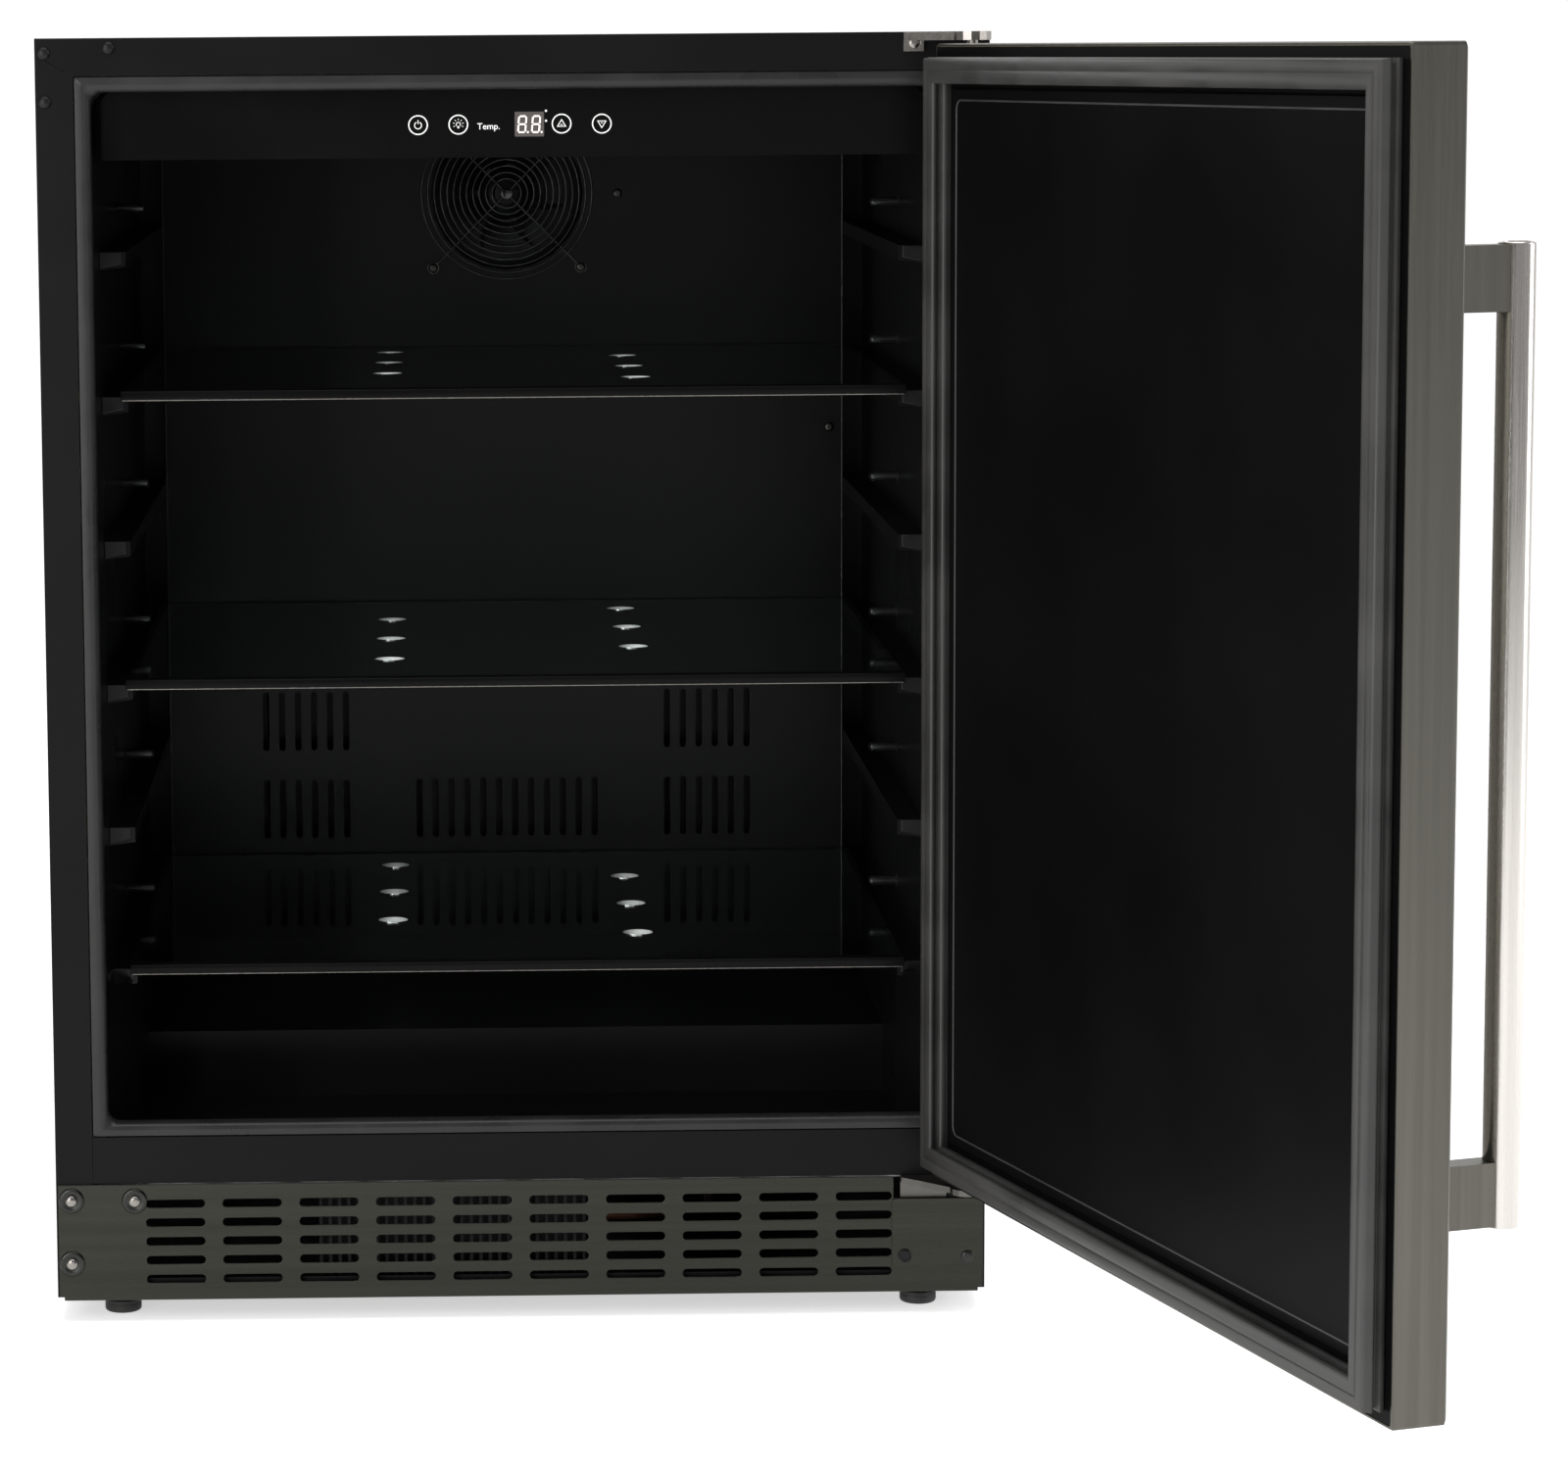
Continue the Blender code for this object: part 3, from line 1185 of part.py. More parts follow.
def arm_outline(front_left, front_right):
    """Plan of a hinge arm: from the cabinet forward to a round nose about the pin."""
    nose = arc((PIVOT.x, PIVOT.y), HINGE_NOSE, -math.pi / 4, -math.pi, 5)
    start = [front_left, front_right, (HINGE_RIGHT, front_right[1]), (HINGE_RIGHT, PIVOT.y)]
    return start + nose + [(HINGE_LEFT + 0.012, PIVOT.y / 2), (HINGE_LEFT, front_left[1] - 0.004)]


def build_hinges(mats, root):
    face = -GAP
    outline = arm_outline((HINGE_LEFT, face), (HINGE_RIGHT - 0.001, face))
    top = plate("top_hinge", outline, "Z", TOP_ARM, mats["bright"], root)
    low = (HINGE_LEFT, face - HINGE_SHEET, CABINET_TOP - TOP_PLATE_DROP)
    high = (HALF_WIDTH - TOP_PLATE_INSET, face, TOP_ARM[0] + SHEET)
    join(top, box("top_hinge_plate", low, high, guide_material(), root))
    join(top, pin("top_hinge_pin", root, DOOR_TOP - PIN_REACH, TOP_ARM[0] + SHEET))

    back = SHEET + GAP
    clear = -(GAP + KICK_SHEET + GAP)
    plan = arm_outline((HINGE_LEFT, clear), (HINGE_RIGHT - 0.001, clear))
    bottom = plate("bottom_hinge", plan, "Z", BOTTOM_ARM, mats["bright"], root)
    neck_low = (HINGE_LEFT, clear - SHEET, BOTTOM_ARM[0])
    neck_high = (HALF_WIDTH - BOTTOM_LEG_INSET, back + HINGE_SHEET, BOTTOM_ARM[1])
    join(bottom, box("bottom_hinge_neck", neck_low, neck_high, guide_material(), root))
    leg_low = (HINGE_LEFT, back, BOTTOM_LEG_BOTTOM)
    leg_high = (HALF_WIDTH - BOTTOM_LEG_INSET, back + HINGE_SHEET, BOTTOM_ARM[1])
    join(bottom, box("bottom_hinge_leg", leg_low, leg_high, guide_material(), root))
    join(bottom, pin("bottom_hinge_pin", root, BOTTOM_ARM[1] - SHEET, DOOR_BOTTOM + PIN_REACH))


# --- door ----------------------------------------------------------------------------------------------
def door_loop(inset, y, radius=0.0):
    """Loop round the closed door, at a distance from its edge."""
    low = (-DOOR_EDGE + inset, DOOR_BOTTOM + inset)
    high = (DOOR_EDGE - inset, DOOR_TOP - inset)
    points = rounded(low, high, radius, 2) if radius > 0 else rectangle(low, high)
    return [lift(point, "Y", y) for point in points]


def pin_pockets(name, door, clearance, depth):
    """Upright holes in the door's ends for the hinge pins."""
    bm = bmesh.new()
    hole = circle((PIVOT.x, PIVOT.y), PIN_RADIUS + clearance, SMALL_STEPS)
    add_plate(bm, hole, (), "Z", DOOR_TOP - depth, DOOR_TOP + depth)
    add_plate(bm, hole, (), "Z", DOOR_BOTTOM - depth, DOOR_BOTTOM + depth)
    return add_object(name, bm, guide_material(), door)


def build_door(mats, door):
    edge = DOOR_BEVEL
    skin = DOOR_SKIN
    inner_radius = DOOR_CORNER * 0.5
    loops = [
        door_loop(edge, DOOR_FRONT, DOOR_CORNER),
        door_loop(0.0, DOOR_FRONT + edge, DOOR_CORNER),
        door_loop(0.0, DOOR_BACK - edge, DOOR_CORNER),
        door_loop(edge / 2, DOOR_BACK, DOOR_CORNER),
        door_loop(DOOR_HEM, DOOR_BACK, DOOR_CORNER),
        door_loop(DOOR_HEM, DOOR_BACK - skin, DOOR_CORNER),
        door_loop(skin, DOOR_BACK - skin, inner_radius),
        door_loop(skin, DOOR_FRONT + skin, inner_radius),
    ]
    wrap = loft("door_skin", loops, mats["brushed"], door, smooth=True)
    cut(wrap, pin_pockets("skin_pockets", door, RUN_GAP, PIN_REACH))

    fit = skin + GAP
    loops = [
        door_loop(fit, DOOR_FRONT + fit, inner_radius),
        door_loop(fit, DOOR_BACK - fit, inner_radius),
        door_loop(DOOR_HEM + GAP, DOOR_BACK - fit, inner_radius),
        door_loop(DOOR_HEM + GAP, DOOR_BACK - LINER_WALL - 2 * GAP, inner_radius),
    ]
    foam = loft("door_foam", loops, mats["foam"], door)
    cut(foam, pin_pockets("foam_pockets", door, 2 * RUN_GAP, PIN_REACH + SHEET))

    face = DOOR_BACK - GAP
    loops = [
        door_loop(DOOR_HEM + GAP, face - LINER_WALL, inner_radius),
        door_loop(DOOR_HEM + GAP, face, inner_radius),
        door_loop(PANEL_INSET, face, inner_radius),
        door_loop(PANEL_INSET + PANEL_RISE, face + PANEL_RISE, inner_radius),
    ]
    loft("door_liner", loops, mats["liner"], door)
    build_gasket(mats, door, face + GAP)


def build_gasket(mats, door, base):
    """Magnetic seal with a bellows on both flanks and mitred corners."""
    crown = -GASKET_CLEAR
    height = crown - base
    flank = GASKET_FLANK
    section = (
        (GASKET_OUTER + flank * 0.4, 0.0),
        (GASKET_OUTER, 0.25),
        (GASKET_OUTER + flank, 0.38),
        (GASKET_OUTER, 0.55),
        (GASKET_OUTER + flank * 0.3, 0.85),
        (GASKET_OUTER + flank * 1.2, 1.0),
        (GASKET_INNER - flank, 1.0),
        (GASKET_INNER, 0.78),
        (GASKET_INNER - flank, 0.52),
        (GASKET_INNER, 0.30),
        (GASKET_INNER - flank * 0.4, 0.0),
    )
    loops = [door_loop(inset, base + share * height) for inset, share in section]
    loft("door_gasket", loops, mats["gasket"], door, ring=True)


def build_handle(mats, door):
    low, high = BAR_Z
    bevel = 0.001
    profile = (
        (low, BAR_RADIUS - bevel),
        (low + bevel, BAR_RADIUS),
        (high - bevel, BAR_RADIUS),
        (high, BAR_RADIUS - bevel),
    )
    turned("handle_bar", profile, "Z", BAR_AT, mats["bright"], door, 2 * SMALL_STEPS)
    saddle = circle(BAR_AT, BAR_RADIUS + GAP, 2 * SMALL_STEPS)
    bottoms = (("lower", low + POST_SETBACK), ("upper", high - POST_SETBACK - POST_HEIGHT))
    for word, bottom in bottoms:
        post_low = (BAR_AT[0] - POST_WIDTH / 2, BAR_AT[1] + BAR_RADIUS * 0.6, bottom)
        post_high = (BAR_AT[0] + POST_WIDTH / 2, DOOR_FRONT - GAP, bottom + POST_HEIGHT)
        post = box("handle_post_" + word, post_low, post_high, mats["brushed"], door)
        span = (bottom - SHEET, bottom + POST_HEIGHT + SHEET)
        cut(post, plate("saddle_" + word, saddle, "Z", span, guide_material(), door))


# --- whole object --------------------------------------------------------------------------------------
def add_empty(name, parent, location, turn=0.0):
    empty = bpy.data.objects.new(name, None)
    empty.parent = parent
    empty.location = location
    empty.rotation_euler = (0.0, 0.0, turn)
    bpy.context.collection.objects.link(empty)
    return empty


def main():
    for obj in list(bpy.data.objects):
        bpy.data.objects.remove(obj, do_unlink=True)
    mats = make_materials()
    root = add_empty("cabinet", None, origin_offset())
    build_cabinet_sides(mats, root)
    build_cabinet_top(mats, root)
    build_cabinet_back(mats, root)
    build_front_rail(mats, root)
    build_base_pan(mats, root)
    build_machine_deck(mats, root)
    build_insulation(mats, root)
    build_bead(mats, root)
    build_liner(mats, root)
    build_control_strip(mats, root)
    build_duct_panel(mats, root)
    build_evaporator_fan(mats, root)
    build_evaporator(mats, root)
    build_pipes(mats, root)
    build_condenser(mats, root)
    build_compressor(mats, root)
    build_rear_cover(mats, root)
    build_kick_grille(mats, root)
    build_feet(mats, root)
    build_shelves(mats, root)
    build_hinges(mats, root)
    door = add_empty("door_pivot", root, PIVOT, DOOR_OPEN)
    closed_door = add_empty("closed_door_frame", door, -PIVOT)
    build_door(mats, closed_door)
    build_handle(mats, closed_door)


main()
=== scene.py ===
"""Finishes and fine parts of an undercounter fridge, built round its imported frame."""

import json
import math

import bmesh
import bpy
from bpy.props import FloatProperty, FloatVectorProperty, IntProperty, PointerProperty
from bpy.types import Operator, Panel, PropertyGroup
from mathutils import Euler, Matrix, Vector


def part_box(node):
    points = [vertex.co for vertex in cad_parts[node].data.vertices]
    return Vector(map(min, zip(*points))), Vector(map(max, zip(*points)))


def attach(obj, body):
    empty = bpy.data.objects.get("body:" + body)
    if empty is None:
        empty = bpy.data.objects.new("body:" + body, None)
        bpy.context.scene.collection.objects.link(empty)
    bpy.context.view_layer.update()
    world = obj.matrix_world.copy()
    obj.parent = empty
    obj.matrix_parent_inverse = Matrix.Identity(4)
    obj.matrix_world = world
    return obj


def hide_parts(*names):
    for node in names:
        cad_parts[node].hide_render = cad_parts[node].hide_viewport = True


bl_info = {
    "name": "Undercounter fridge finishes",
    "version": (1, 0, 0),
    "blender": (4, 5, 0),
    "location": "3D View > Sidebar > Fridge",
    "description": "Adds finishes and fine parts to the frame of an undercounter fridge",
    "category": "Object",
}

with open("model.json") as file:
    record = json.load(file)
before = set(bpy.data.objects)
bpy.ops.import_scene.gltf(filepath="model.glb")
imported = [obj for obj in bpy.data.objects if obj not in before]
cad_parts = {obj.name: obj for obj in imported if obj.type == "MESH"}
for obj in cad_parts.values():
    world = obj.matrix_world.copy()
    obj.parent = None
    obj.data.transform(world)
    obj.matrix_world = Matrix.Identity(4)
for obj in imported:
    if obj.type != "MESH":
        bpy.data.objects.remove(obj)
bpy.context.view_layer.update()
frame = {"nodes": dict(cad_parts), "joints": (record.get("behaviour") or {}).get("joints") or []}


def box_of(node):
    low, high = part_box(node)
    return Vector(low), Vector(high)


def joint_named(name):
    for joint in frame["joints"]:
        if joint["name"] == name:
            return joint
    raise RuntimeError("no joint called " + name)


# Cabinet coordinates: X from the middle of the cabinet, Y back from the flange plane, Z up from the floor.
_SIDE_LOW, _ = box_of("cabinet_side_left")
_, _SIDE_HIGH = box_of("cabinet_side_right")
CABINET_ORIGIN = Vector(((_SIDE_LOW.x + _SIDE_HIGH.x) / 2, _SIDE_LOW.y, 0.0))
CABINET = Matrix.Translation(CABINET_ORIGIN)
HINGE = joint_named("door_hinge")
HINGE_AT = Vector(HINGE["pos_m"]) - CABINET_ORIGIN
OPEN_ANGLE = math.radians(-HINGE["range_deg"][0])
DOOR = (
    CABINET
    @ Matrix.Translation(HINGE_AT)
    @ Matrix.Rotation(OPEN_ANGLE, 4, "Z")
    @ Matrix.Translation(-HINGE_AT)
)
CLOSED_DOOR = DOOR.inverted()


def cabinet_box(node):
    """Corners of a node in cabinet coordinates."""
    low, high = box_of(node)
    return low - CABINET_ORIGIN, high - CABINET_ORIGIN


def closed_box(node):
    """Corners of a door node in cabinet coordinates with the door shut."""
    mesh = frame["nodes"][node].data
    points = [CLOSED_DOOR @ vert.co for vert in mesh.vertices]
    low = Vector([min(point[i] for point in points) for i in range(3)])
    high = Vector([max(point[i] for point in points) for i in range(3)])
    return low, high


# --- sizes and colours that can be changed ---------------------------------------------------------------
def colour_property(name, description, default):
    return FloatVectorProperty(
        name=name, description=description, default=default, subtype="COLOR", size=3, min=0.0, max=1.0
    )


def length_property(name, description, default):
    return FloatProperty(name=name, description=description, default=default, unit="LENGTH", precision=4)


class FridgeFinishes(PropertyGroup):
    paint: colour_property("Cabinet paint", "Colour of the painted steel", (0.0052, 0.0052, 0.0054))
    liner: colour_property("Liner", "Colour of the moulded liner", (0.0040, 0.0040, 0.0042))
    door_panel: colour_property("Door panel", "Colour of the panel inside the door", (0.0034, 0.0034, 0.0035))
    bead: colour_property("Bead", "Colour of the frame round the opening", (0.022, 0.022, 0.022))
    gasket: colour_property("Gasket", "Colour of the door seal", (0.036, 0.035, 0.034))
    door_steel: colour_property("Door steel", "Colour of the door's brushed steel", (0.125, 0.120, 0.105))
    handle_steel: colour_property("Handle steel", "Colour of the handle bar", (0.62, 0.59, 0.56))
    kick_steel: colour_property("Kick plate steel", "Colour of the kick plate", (0.041, 0.041, 0.035))
    glass: colour_property("Glass", "Tint of the shelf glass", (0.86, 0.95, 0.91))
    print: colour_property("Symbols", "Colour of the symbols on the control strip", (0.90, 0.90, 0.88))
    floor: colour_property("Floor", "Colour of the studio floor", (0.90, 0.90, 0.90))


class FridgeSizes(PropertyGroup):
    camera_lens: FloatProperty(
        name="Camera lens", description="Focal length of the camera", default=108.01, unit="CAMERA"
    )
    plug_radius: length_property("Plug radius", "Radius of a domed hole plug in the cabinet front", 0.0040)
    plug_rise: length_property("Plug rise", "Height of a domed hole plug", 0.0026)
    pad_radius: length_property("Pad ring radius", "Radius of the ring round a touch pad", 0.0062)
    line_width: length_property("Line width", "Width of the printed lines", 0.0007)
    grille_wire: length_property("Grille wire", "Radius of the wire of the fan grille", 0.0007)
    grille_rings: IntProperty(name="Grille rings", description="Wire rings in the fan grille", default=12)
    glass_edge: length_property("Glass edge", "Width of the ground edge of the shelf glass", 0.0005)
    ridge_inset: length_property("Panel line inset", "Door's edge to the panel's raised line", 0.0345)
    peg_radius: length_property("Peg radius", "Radius of the stop pegs over the shelf ribs", 0.0032)


# --- mesh helpers ----------------------------------------------------------------------------------------
def facing(point, direction, turn=0.0):
    """Matrix that stands a part, drawn with +Z outwards, on a point."""
    turned = Vector(direction).to_track_quat("Z", "Y").to_matrix().to_4x4()
    return Matrix.Translation(Vector(point)) @ turned @ Matrix.Rotation(turn, 4, "Z")


def on_front(x, y, z, turn=0.0):
    """Matrix for a part on a face that looks forwards: its own X runs right and its own Y runs up."""
    axes = Matrix(((1, 0, 0), (0, 0, -1), (0, 1, 0))).to_4x4()
    return Matrix.Translation(Vector((x, y, z))) @ axes @ Matrix.Rotation(turn, 4, "Z")


def arc(centre, radius, start, end, steps):
    points = []
    for i in range(steps + 1):
        angle = start + (end - start) * i / steps
        points.append((centre[0] + radius * math.cos(angle), centre[1] + radius * math.sin(angle)))
    return points


def circle(centre, radius, steps):
    return arc(centre, radius, 0.0, 2 * math.pi * (steps - 1) / steps, steps - 1)


def rounded(low, high, radius, steps=6):
    """Anticlockwise rectangle with round corners."""
    centres = (
        (high[0] - radius, high[1] - radius),
        (low[0] + radius, high[1] - radius),
        (low[0] + radius, low[1] + radius),
        (high[0] - radius, low[1] + radius),
    )
    points = []
    for number, centre in enumerate(centres):
        start = number * math.pi / 2
        points += arc(centre, radius, start, start + math.pi / 2, steps)
    return points


def add_plate(bm, outline, holes, low, high):
    """Flat plate between two heights, with holes through it."""
    edges = []
    for loop in [outline] + list(holes):
        verts = [bm.verts.new((point[0], point[1], low)) for point in loop]
        for i, vert in enumerate(verts):
            edges.append(bm.edges.new((vert, verts[(i + 1) % len(verts)])))
    filled = bmesh.ops.triangle_fill(bm, edges=edges, use_beauty=True)
    faces = [item for item in filled["geom"] if isinstance(item, bmesh.types.BMFace)]
    grown = bmesh.ops.extrude_face_region(bm, geom=faces)
    moved = [item for item in grown["geom"] if isinstance(item, bmesh.types.BMVert)]
    bmesh.ops.translate(bm, verts=moved, vec=(0.0, 0.0, high - low))


def add_rows(bm, rows, ring=False, caps=True):
    """Skin rows of points; a row of one point is a pole."""
    made = [[bm.verts.new(point) for point in row] for row in rows]
    pairs = list(zip(made, made[1:]))
    if ring:
        pairs.append((made[-1], made[0]))
    for first, second in pairs:
        count = max(len(first), len(second))
        for i in range(count):
            j = (i + 1) % count
            corners = [first[i % len(first)], first[j % len(first)]]
            corners += [second[j % len(second)], second[i % len(second)]]
            unique = list(dict.fromkeys(corners))
            if len(unique) > 2:
                bm.faces.new(unique)
    if caps and not ring:
        for row in (made[0], made[-1]):
            if len(row) > 2:
                bm.faces.new(row)


def add_lathe(bm, profile, steps=32, centre=(0.0, 0.0)):
    """Turn (radius, height) points round an upright axis; a radius of 0 is a pole."""
    rows = []
    for radius, height in profile:
        if radius == 0:
            rows.append([(centre[0], centre[1], height)])
        else:
            rows.append([(x, y, height) for x, y in circle(centre, radius, steps)])
    add_rows(bm, rows)


def add_torus(bm, radius, wire, steps=64, sides=8, height=0.0, centre=(0.0, 0.0)):
    rows = []
    for i in range(sides):
        angle = 2 * math.pi * i / sides
        ring = radius + wire * math.cos(angle)
        level = height + wire * math.sin(angle)
        rows.append([(x, y, level) for x, y in circle(centre, ring, steps)])
    add_rows(bm, rows, ring=True)


def add_wire(bm, start, end, wire, sides=8):
    """Straight round wire between two points."""
    start, end = Vector(start), Vector(end)
    turned = (end - start).to_track_quat("Z", "Y").to_matrix()
    rows = []
    for point in (start, end):
        rows.append([point + turned @ Vector((x, y, 0.0)) for x, y in circle((0.0, 0.0), wire, sides)])
    add_rows(bm, rows)


def dome(radius, rise, foot=0.0004, steps=6):
    """Profile of a low dome on a thin foot, for add_lathe."""
    profile = [(radius, 0.0), (radius, foot)]
    for i in range(1, steps):
        angle = math.pi / 2 * i / steps
        profile.append((radius * math.cos(angle), foot + (rise - foot) * math.sin(angle)))
    return profile + [(0.0, rise)]


def piece(name, bm, material, body, place=None, bevel=0.0, replaces=(), segments=2, angle=32.0):
    """Turn a bmesh into a named part that rides on a body."""
    bmesh.ops.recalc_face_normals(bm, faces=bm.faces)
    mesh = bpy.data.meshes.new(name)
    bm.to_mesh(mesh)
    bm.free()
    if place is not None:
        mesh.transform(place)
    mesh.materials.append(material)
    mesh.shade_smooth()
    mesh.set_sharp_from_angle(angle=math.radians(angle))
    obj = bpy.data.objects.new(name, mesh)
    bpy.context.scene.collection.objects.link(obj)
    if bevel > 0:
        soften(obj, bevel, segments)
    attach(obj, body)
    if replaces:
        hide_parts(*replaces)
    return obj


def soften(obj, width, segments=2, angle=40.0):
    """Round the sharp edges of a part."""
    modifier = obj.modifiers.new("soft_edges", "BEVEL")
    modifier.width = width
    modifier.segments = segments
    modifier.limit_method = "ANGLE"
    modifier.angle_limit = math.radians(angle)
    modifier.harden_normals = True
    modifier.miter_outer = "MITER_ARC"


def dress(node, material):
    """Give a frame node its finish."""
    obj = frame["nodes"][node]
    obj.data.materials.clear()
    obj.data.materials.append(material)
    return obj


def cross_screw(bm, radius, rise, recess=0.55):
    """Pan head screw with a cross recess, standing on z = 0."""
    add_lathe(bm, dome(radius, rise, rise * 0.35), 24)
    arm = radius * recess
    width = radius * 0.14
    for turn in range(2):
        long, short = (arm, width) if turn == 0 else (width, arm)
        corners = [(-long, -short), (long, -short), (long, short), (-long, short)]
        add_plate(bm, corners, (), rise * 0.62, rise * (1.02 + 0.01 * turn))


# --- materials -------------------------------------------------------------------------------------------
class Recipe:
    """A node material built a step at a time."""

    def __init__(self, name, colour, roughness, metallic=0.0):
        self.material = bpy.data.materials.new(name)
        self.material.use_nodes = True
        self.nodes = self.material.node_tree.nodes
        self.links = self.material.node_tree.links
        self.shader = self.nodes["Principled BSDF"]
        self.shader.inputs["Base Color"].default_value = (*colour, 1.0)
        self.shader.inputs["Roughness"].default_value = roughness
        self.shader.inputs["Metallic"].default_value = metallic
        self.place = self.nodes.new("ShaderNodeTexCoord")
        self.bump_input = self.shader.inputs["Normal"]

    def socket(self, name, value):
        self.shader.inputs[name].default_value = value
        return self

    def noise(self, scale, detail=4.0, stretch=(1.0, 1.0, 1.0), roughness=0.5):
        mapping = self.nodes.new("ShaderNodeMapping")
        mapping.inputs["Scale"].default_value = stretch
        self.links.new(self.place.outputs["Object"], mapping.inputs["Vector"])
        noise = self.nodes.new("ShaderNodeTexNoise")
        noise.inputs["Scale"].default_value = scale
        noise.inputs["Detail"].default_value = detail
        noise.inputs["Roughness"].default_value = roughness
        self.links.new(mapping.outputs["Vector"], noise.inputs["Vector"])
        return noise.outputs["Fac"]

    def spread(self, value, low, high, at=(0.3, 0.7)):
        """Map a 0 to 1 value to a range."""
        ramp = self.nodes.new("ShaderNodeMapRange")
        ramp.inputs["From Min"].default_value = at[0]
        ramp.inputs["From Max"].default_value = at[1]
        ramp.inputs["To Min"].default_value = low
        ramp.inputs["To Max"].default_value = high
        self.links.new(value, ramp.inputs["Value"])
        return ramp.outputs["Result"]

    def vary_roughness(self, value, low, high):
        self.links.new(self.spread(value, low, high), self.shader.inputs["Roughness"])
        return self

    def vary_colour(self, value, first, second):
        mix = self.nodes.new("ShaderNodeMix")
        mix.data_type = "RGBA"
        mix.inputs["A"].default_value = (*first, 1.0)
        mix.inputs["B"].default_value = (*second, 1.0)
        self.links.new(self.spread(value, 0.0, 1.0), mix.inputs["Factor"])
        self.links.new(mix.outputs["Result"], self.shader.inputs["Base Color"])
        return self

    def bump(self, value, depth, strength=1.0):
        """Add a layer of relief under the layers made before it."""
        bump = self.nodes.new("ShaderNodeBump")
        bump.inputs["Distance"].default_value = depth
        bump.inputs["Strength"].default_value = strength
        self.links.new(value, bump.inputs["Height"])
        self.links.new(bump.outputs["Normal"], self.bump_input)
        self.bump_input = bump.inputs["Normal"]
        return self


def shade(colour, factor):
    return tuple(min(1.0, part * factor) for part in colour)


def once(name, maker):
    """Make a material the first time that it is asked for."""
    return bpy.data.materials.get(name) or maker(name)


def skin(name, colour, roughness, gloss, cloud, sheen, tones, grains, metallic=0.0):
    """Painted, moulded or rubber surface: a cloudy sheen and tone over one or two grains."""

    def make(title):
        recipe = Recipe(title, colour, roughness, metallic)
        recipe.socket("Specular IOR Level", gloss)
        haze = recipe.noise(cloud, 3.0)
        recipe.vary_roughness(haze, *sheen)
        recipe.vary_colour(haze, shade(colour, tones[0]), shade(colour, tones[1]))
        for scale, detail, depth, strength in grains:
            recipe.bump(recipe.noise(scale, detail), depth, strength)
        return recipe.material

    return once(name, make)


def satin_paint(finishes):
    grains = ((520.0, 2.0, 0.00006, 0.35),)
    return skin("satin_black_paint", finishes.paint, 0.38, 0.10, 7.0, (0.33, 0.44), (0.85, 1.25), grains)


def moulded_liner(finishes):
    grains = ((18.0, 2.0, 0.0004, 0.25), (900.0, 2.0, 0.00003, 0.25))
    return skin("moulded_liner", finishes.liner, 0.30, 0.16, 3.2, (0.24, 0.36), (0.8, 1.4), grains)


def door_panel_plastic(finishes):
    grains = ((700.0, 2.0, 0.00004, 0.4),)
    return skin("door_panel_plastic", finishes.door_panel, 0.36, 0.03, 5.0, (0.30, 0.44), (0.8, 1.3), grains)


def bead_plastic(finishes):
    grains = ((600.0, 2.0, 0.00004, 0.3),)
    return skin("bead_plastic", finishes.bead, 0.30, 0.30, 30.0, (0.24, 0.38), (0.8, 1.15), grains)


def gasket_rubber(finishes):
    grains = ((420.0, 3.0, 0.00008, 0.4),)
    return skin("gasket_rubber", finishes.gasket, 0.42, 0.5, 22.0, (0.36, 0.52), (0.75, 1.3), grains)


def black_plastic(finishes):
    def make(name):
        colour = shade(finishes.liner, 1.2)
        recipe = Recipe(name, colour, 0.40)
        recipe.socket("Specular IOR Level", 0.25)
        grain = recipe.noise(1100.0, 2.0)
        recipe.vary_colour(recipe.noise(40.0), shade(colour, 0.8), shade(colour, 1.3))
        recipe.bump(grain, 0.00004, 0.5)
        return recipe.material

    return once("black_plastic", make)


def strip_plastic(finishes):
    def make(name):
        recipe = Recipe(name, shade(finishes.liner, 1.1), 0.22)
        recipe.socket("Specular IOR Level", 0.07)
        recipe.vary_roughness(recipe.noise(9.0, 3.0), 0.18, 0.30)
        recipe.bump(recipe.noise(1000.0, 2.0), 0.00002, 0.3)
        return recipe.material

    return once("strip_plastic", make)


def foot_rubber(finishes):
    def make(name):
        recipe = Recipe(name, shade(finishes.gasket, 0.6), 0.6)
        recipe.vary_roughness(recipe.noise(90.0), 0.5, 0.75)
        recipe.bump(recipe.noise(700.0), 0.0001, 0.5)
        return recipe.material

    return once("foot_rubber", make)


def brushed(name, colour, roughness, along, depth=0.00003, contrast=0.12):
    """Brushed steel: long fine scratches that run along one axis."""
    stretch = [1.0, 1.0, 1.0]
    stretch["XYZ".index(along)] = 0.012
    recipe = Recipe(name, colour, roughness, 1.0)
    scratches = recipe.noise(1500.0, 3.0, stretch, 0.6)
    bands = recipe.noise(160.0, 3.0, stretch)
    recipe.vary_roughness(scratches, roughness - 0.06, roughness + 0.10)
    recipe.vary_colour(bands, shade(colour, 1.0 - contrast), shade(colour, 1.0 + contrast))
    recipe.bump(scratches, depth, 0.4)
    return recipe.material


def door_steel(finishes):
    return once("door_steel", lambda name: brushed(name, finishes.door_steel, 0.34, "Z"))


def handle_steel(finishes):
    return once("handle_steel", lambda name: brushed(name, finishes.handle_steel, 0.22, "Z", 0.00002, 0.06))


def post_steel(finishes):
    return once("post_steel", lambda name: brushed(name, shade(finishes.door_steel, 1.1), 0.36, "Z"))


def kick_steel(finishes):
    return once("kick_steel", lambda name: brushed(name, finishes.kick_steel, 0.26, "X", 0.00002, 0.08))


def plating(name, colour, roughness, sheen):
    def make(title):
        recipe = Recipe(title, colour, roughness, 1.0)
        recipe.vary_roughness(recipe.noise(260.0, 3.0), *sheen)
        recipe.bump(recipe.noise(900.0, 2.0), 0.00003, 0.4)
        return recipe.material

    return once(name, make)


def plated():
    return plating("plated_steel", (0.30, 0.28, 0.26), 0.24, (0.18, 0.36))


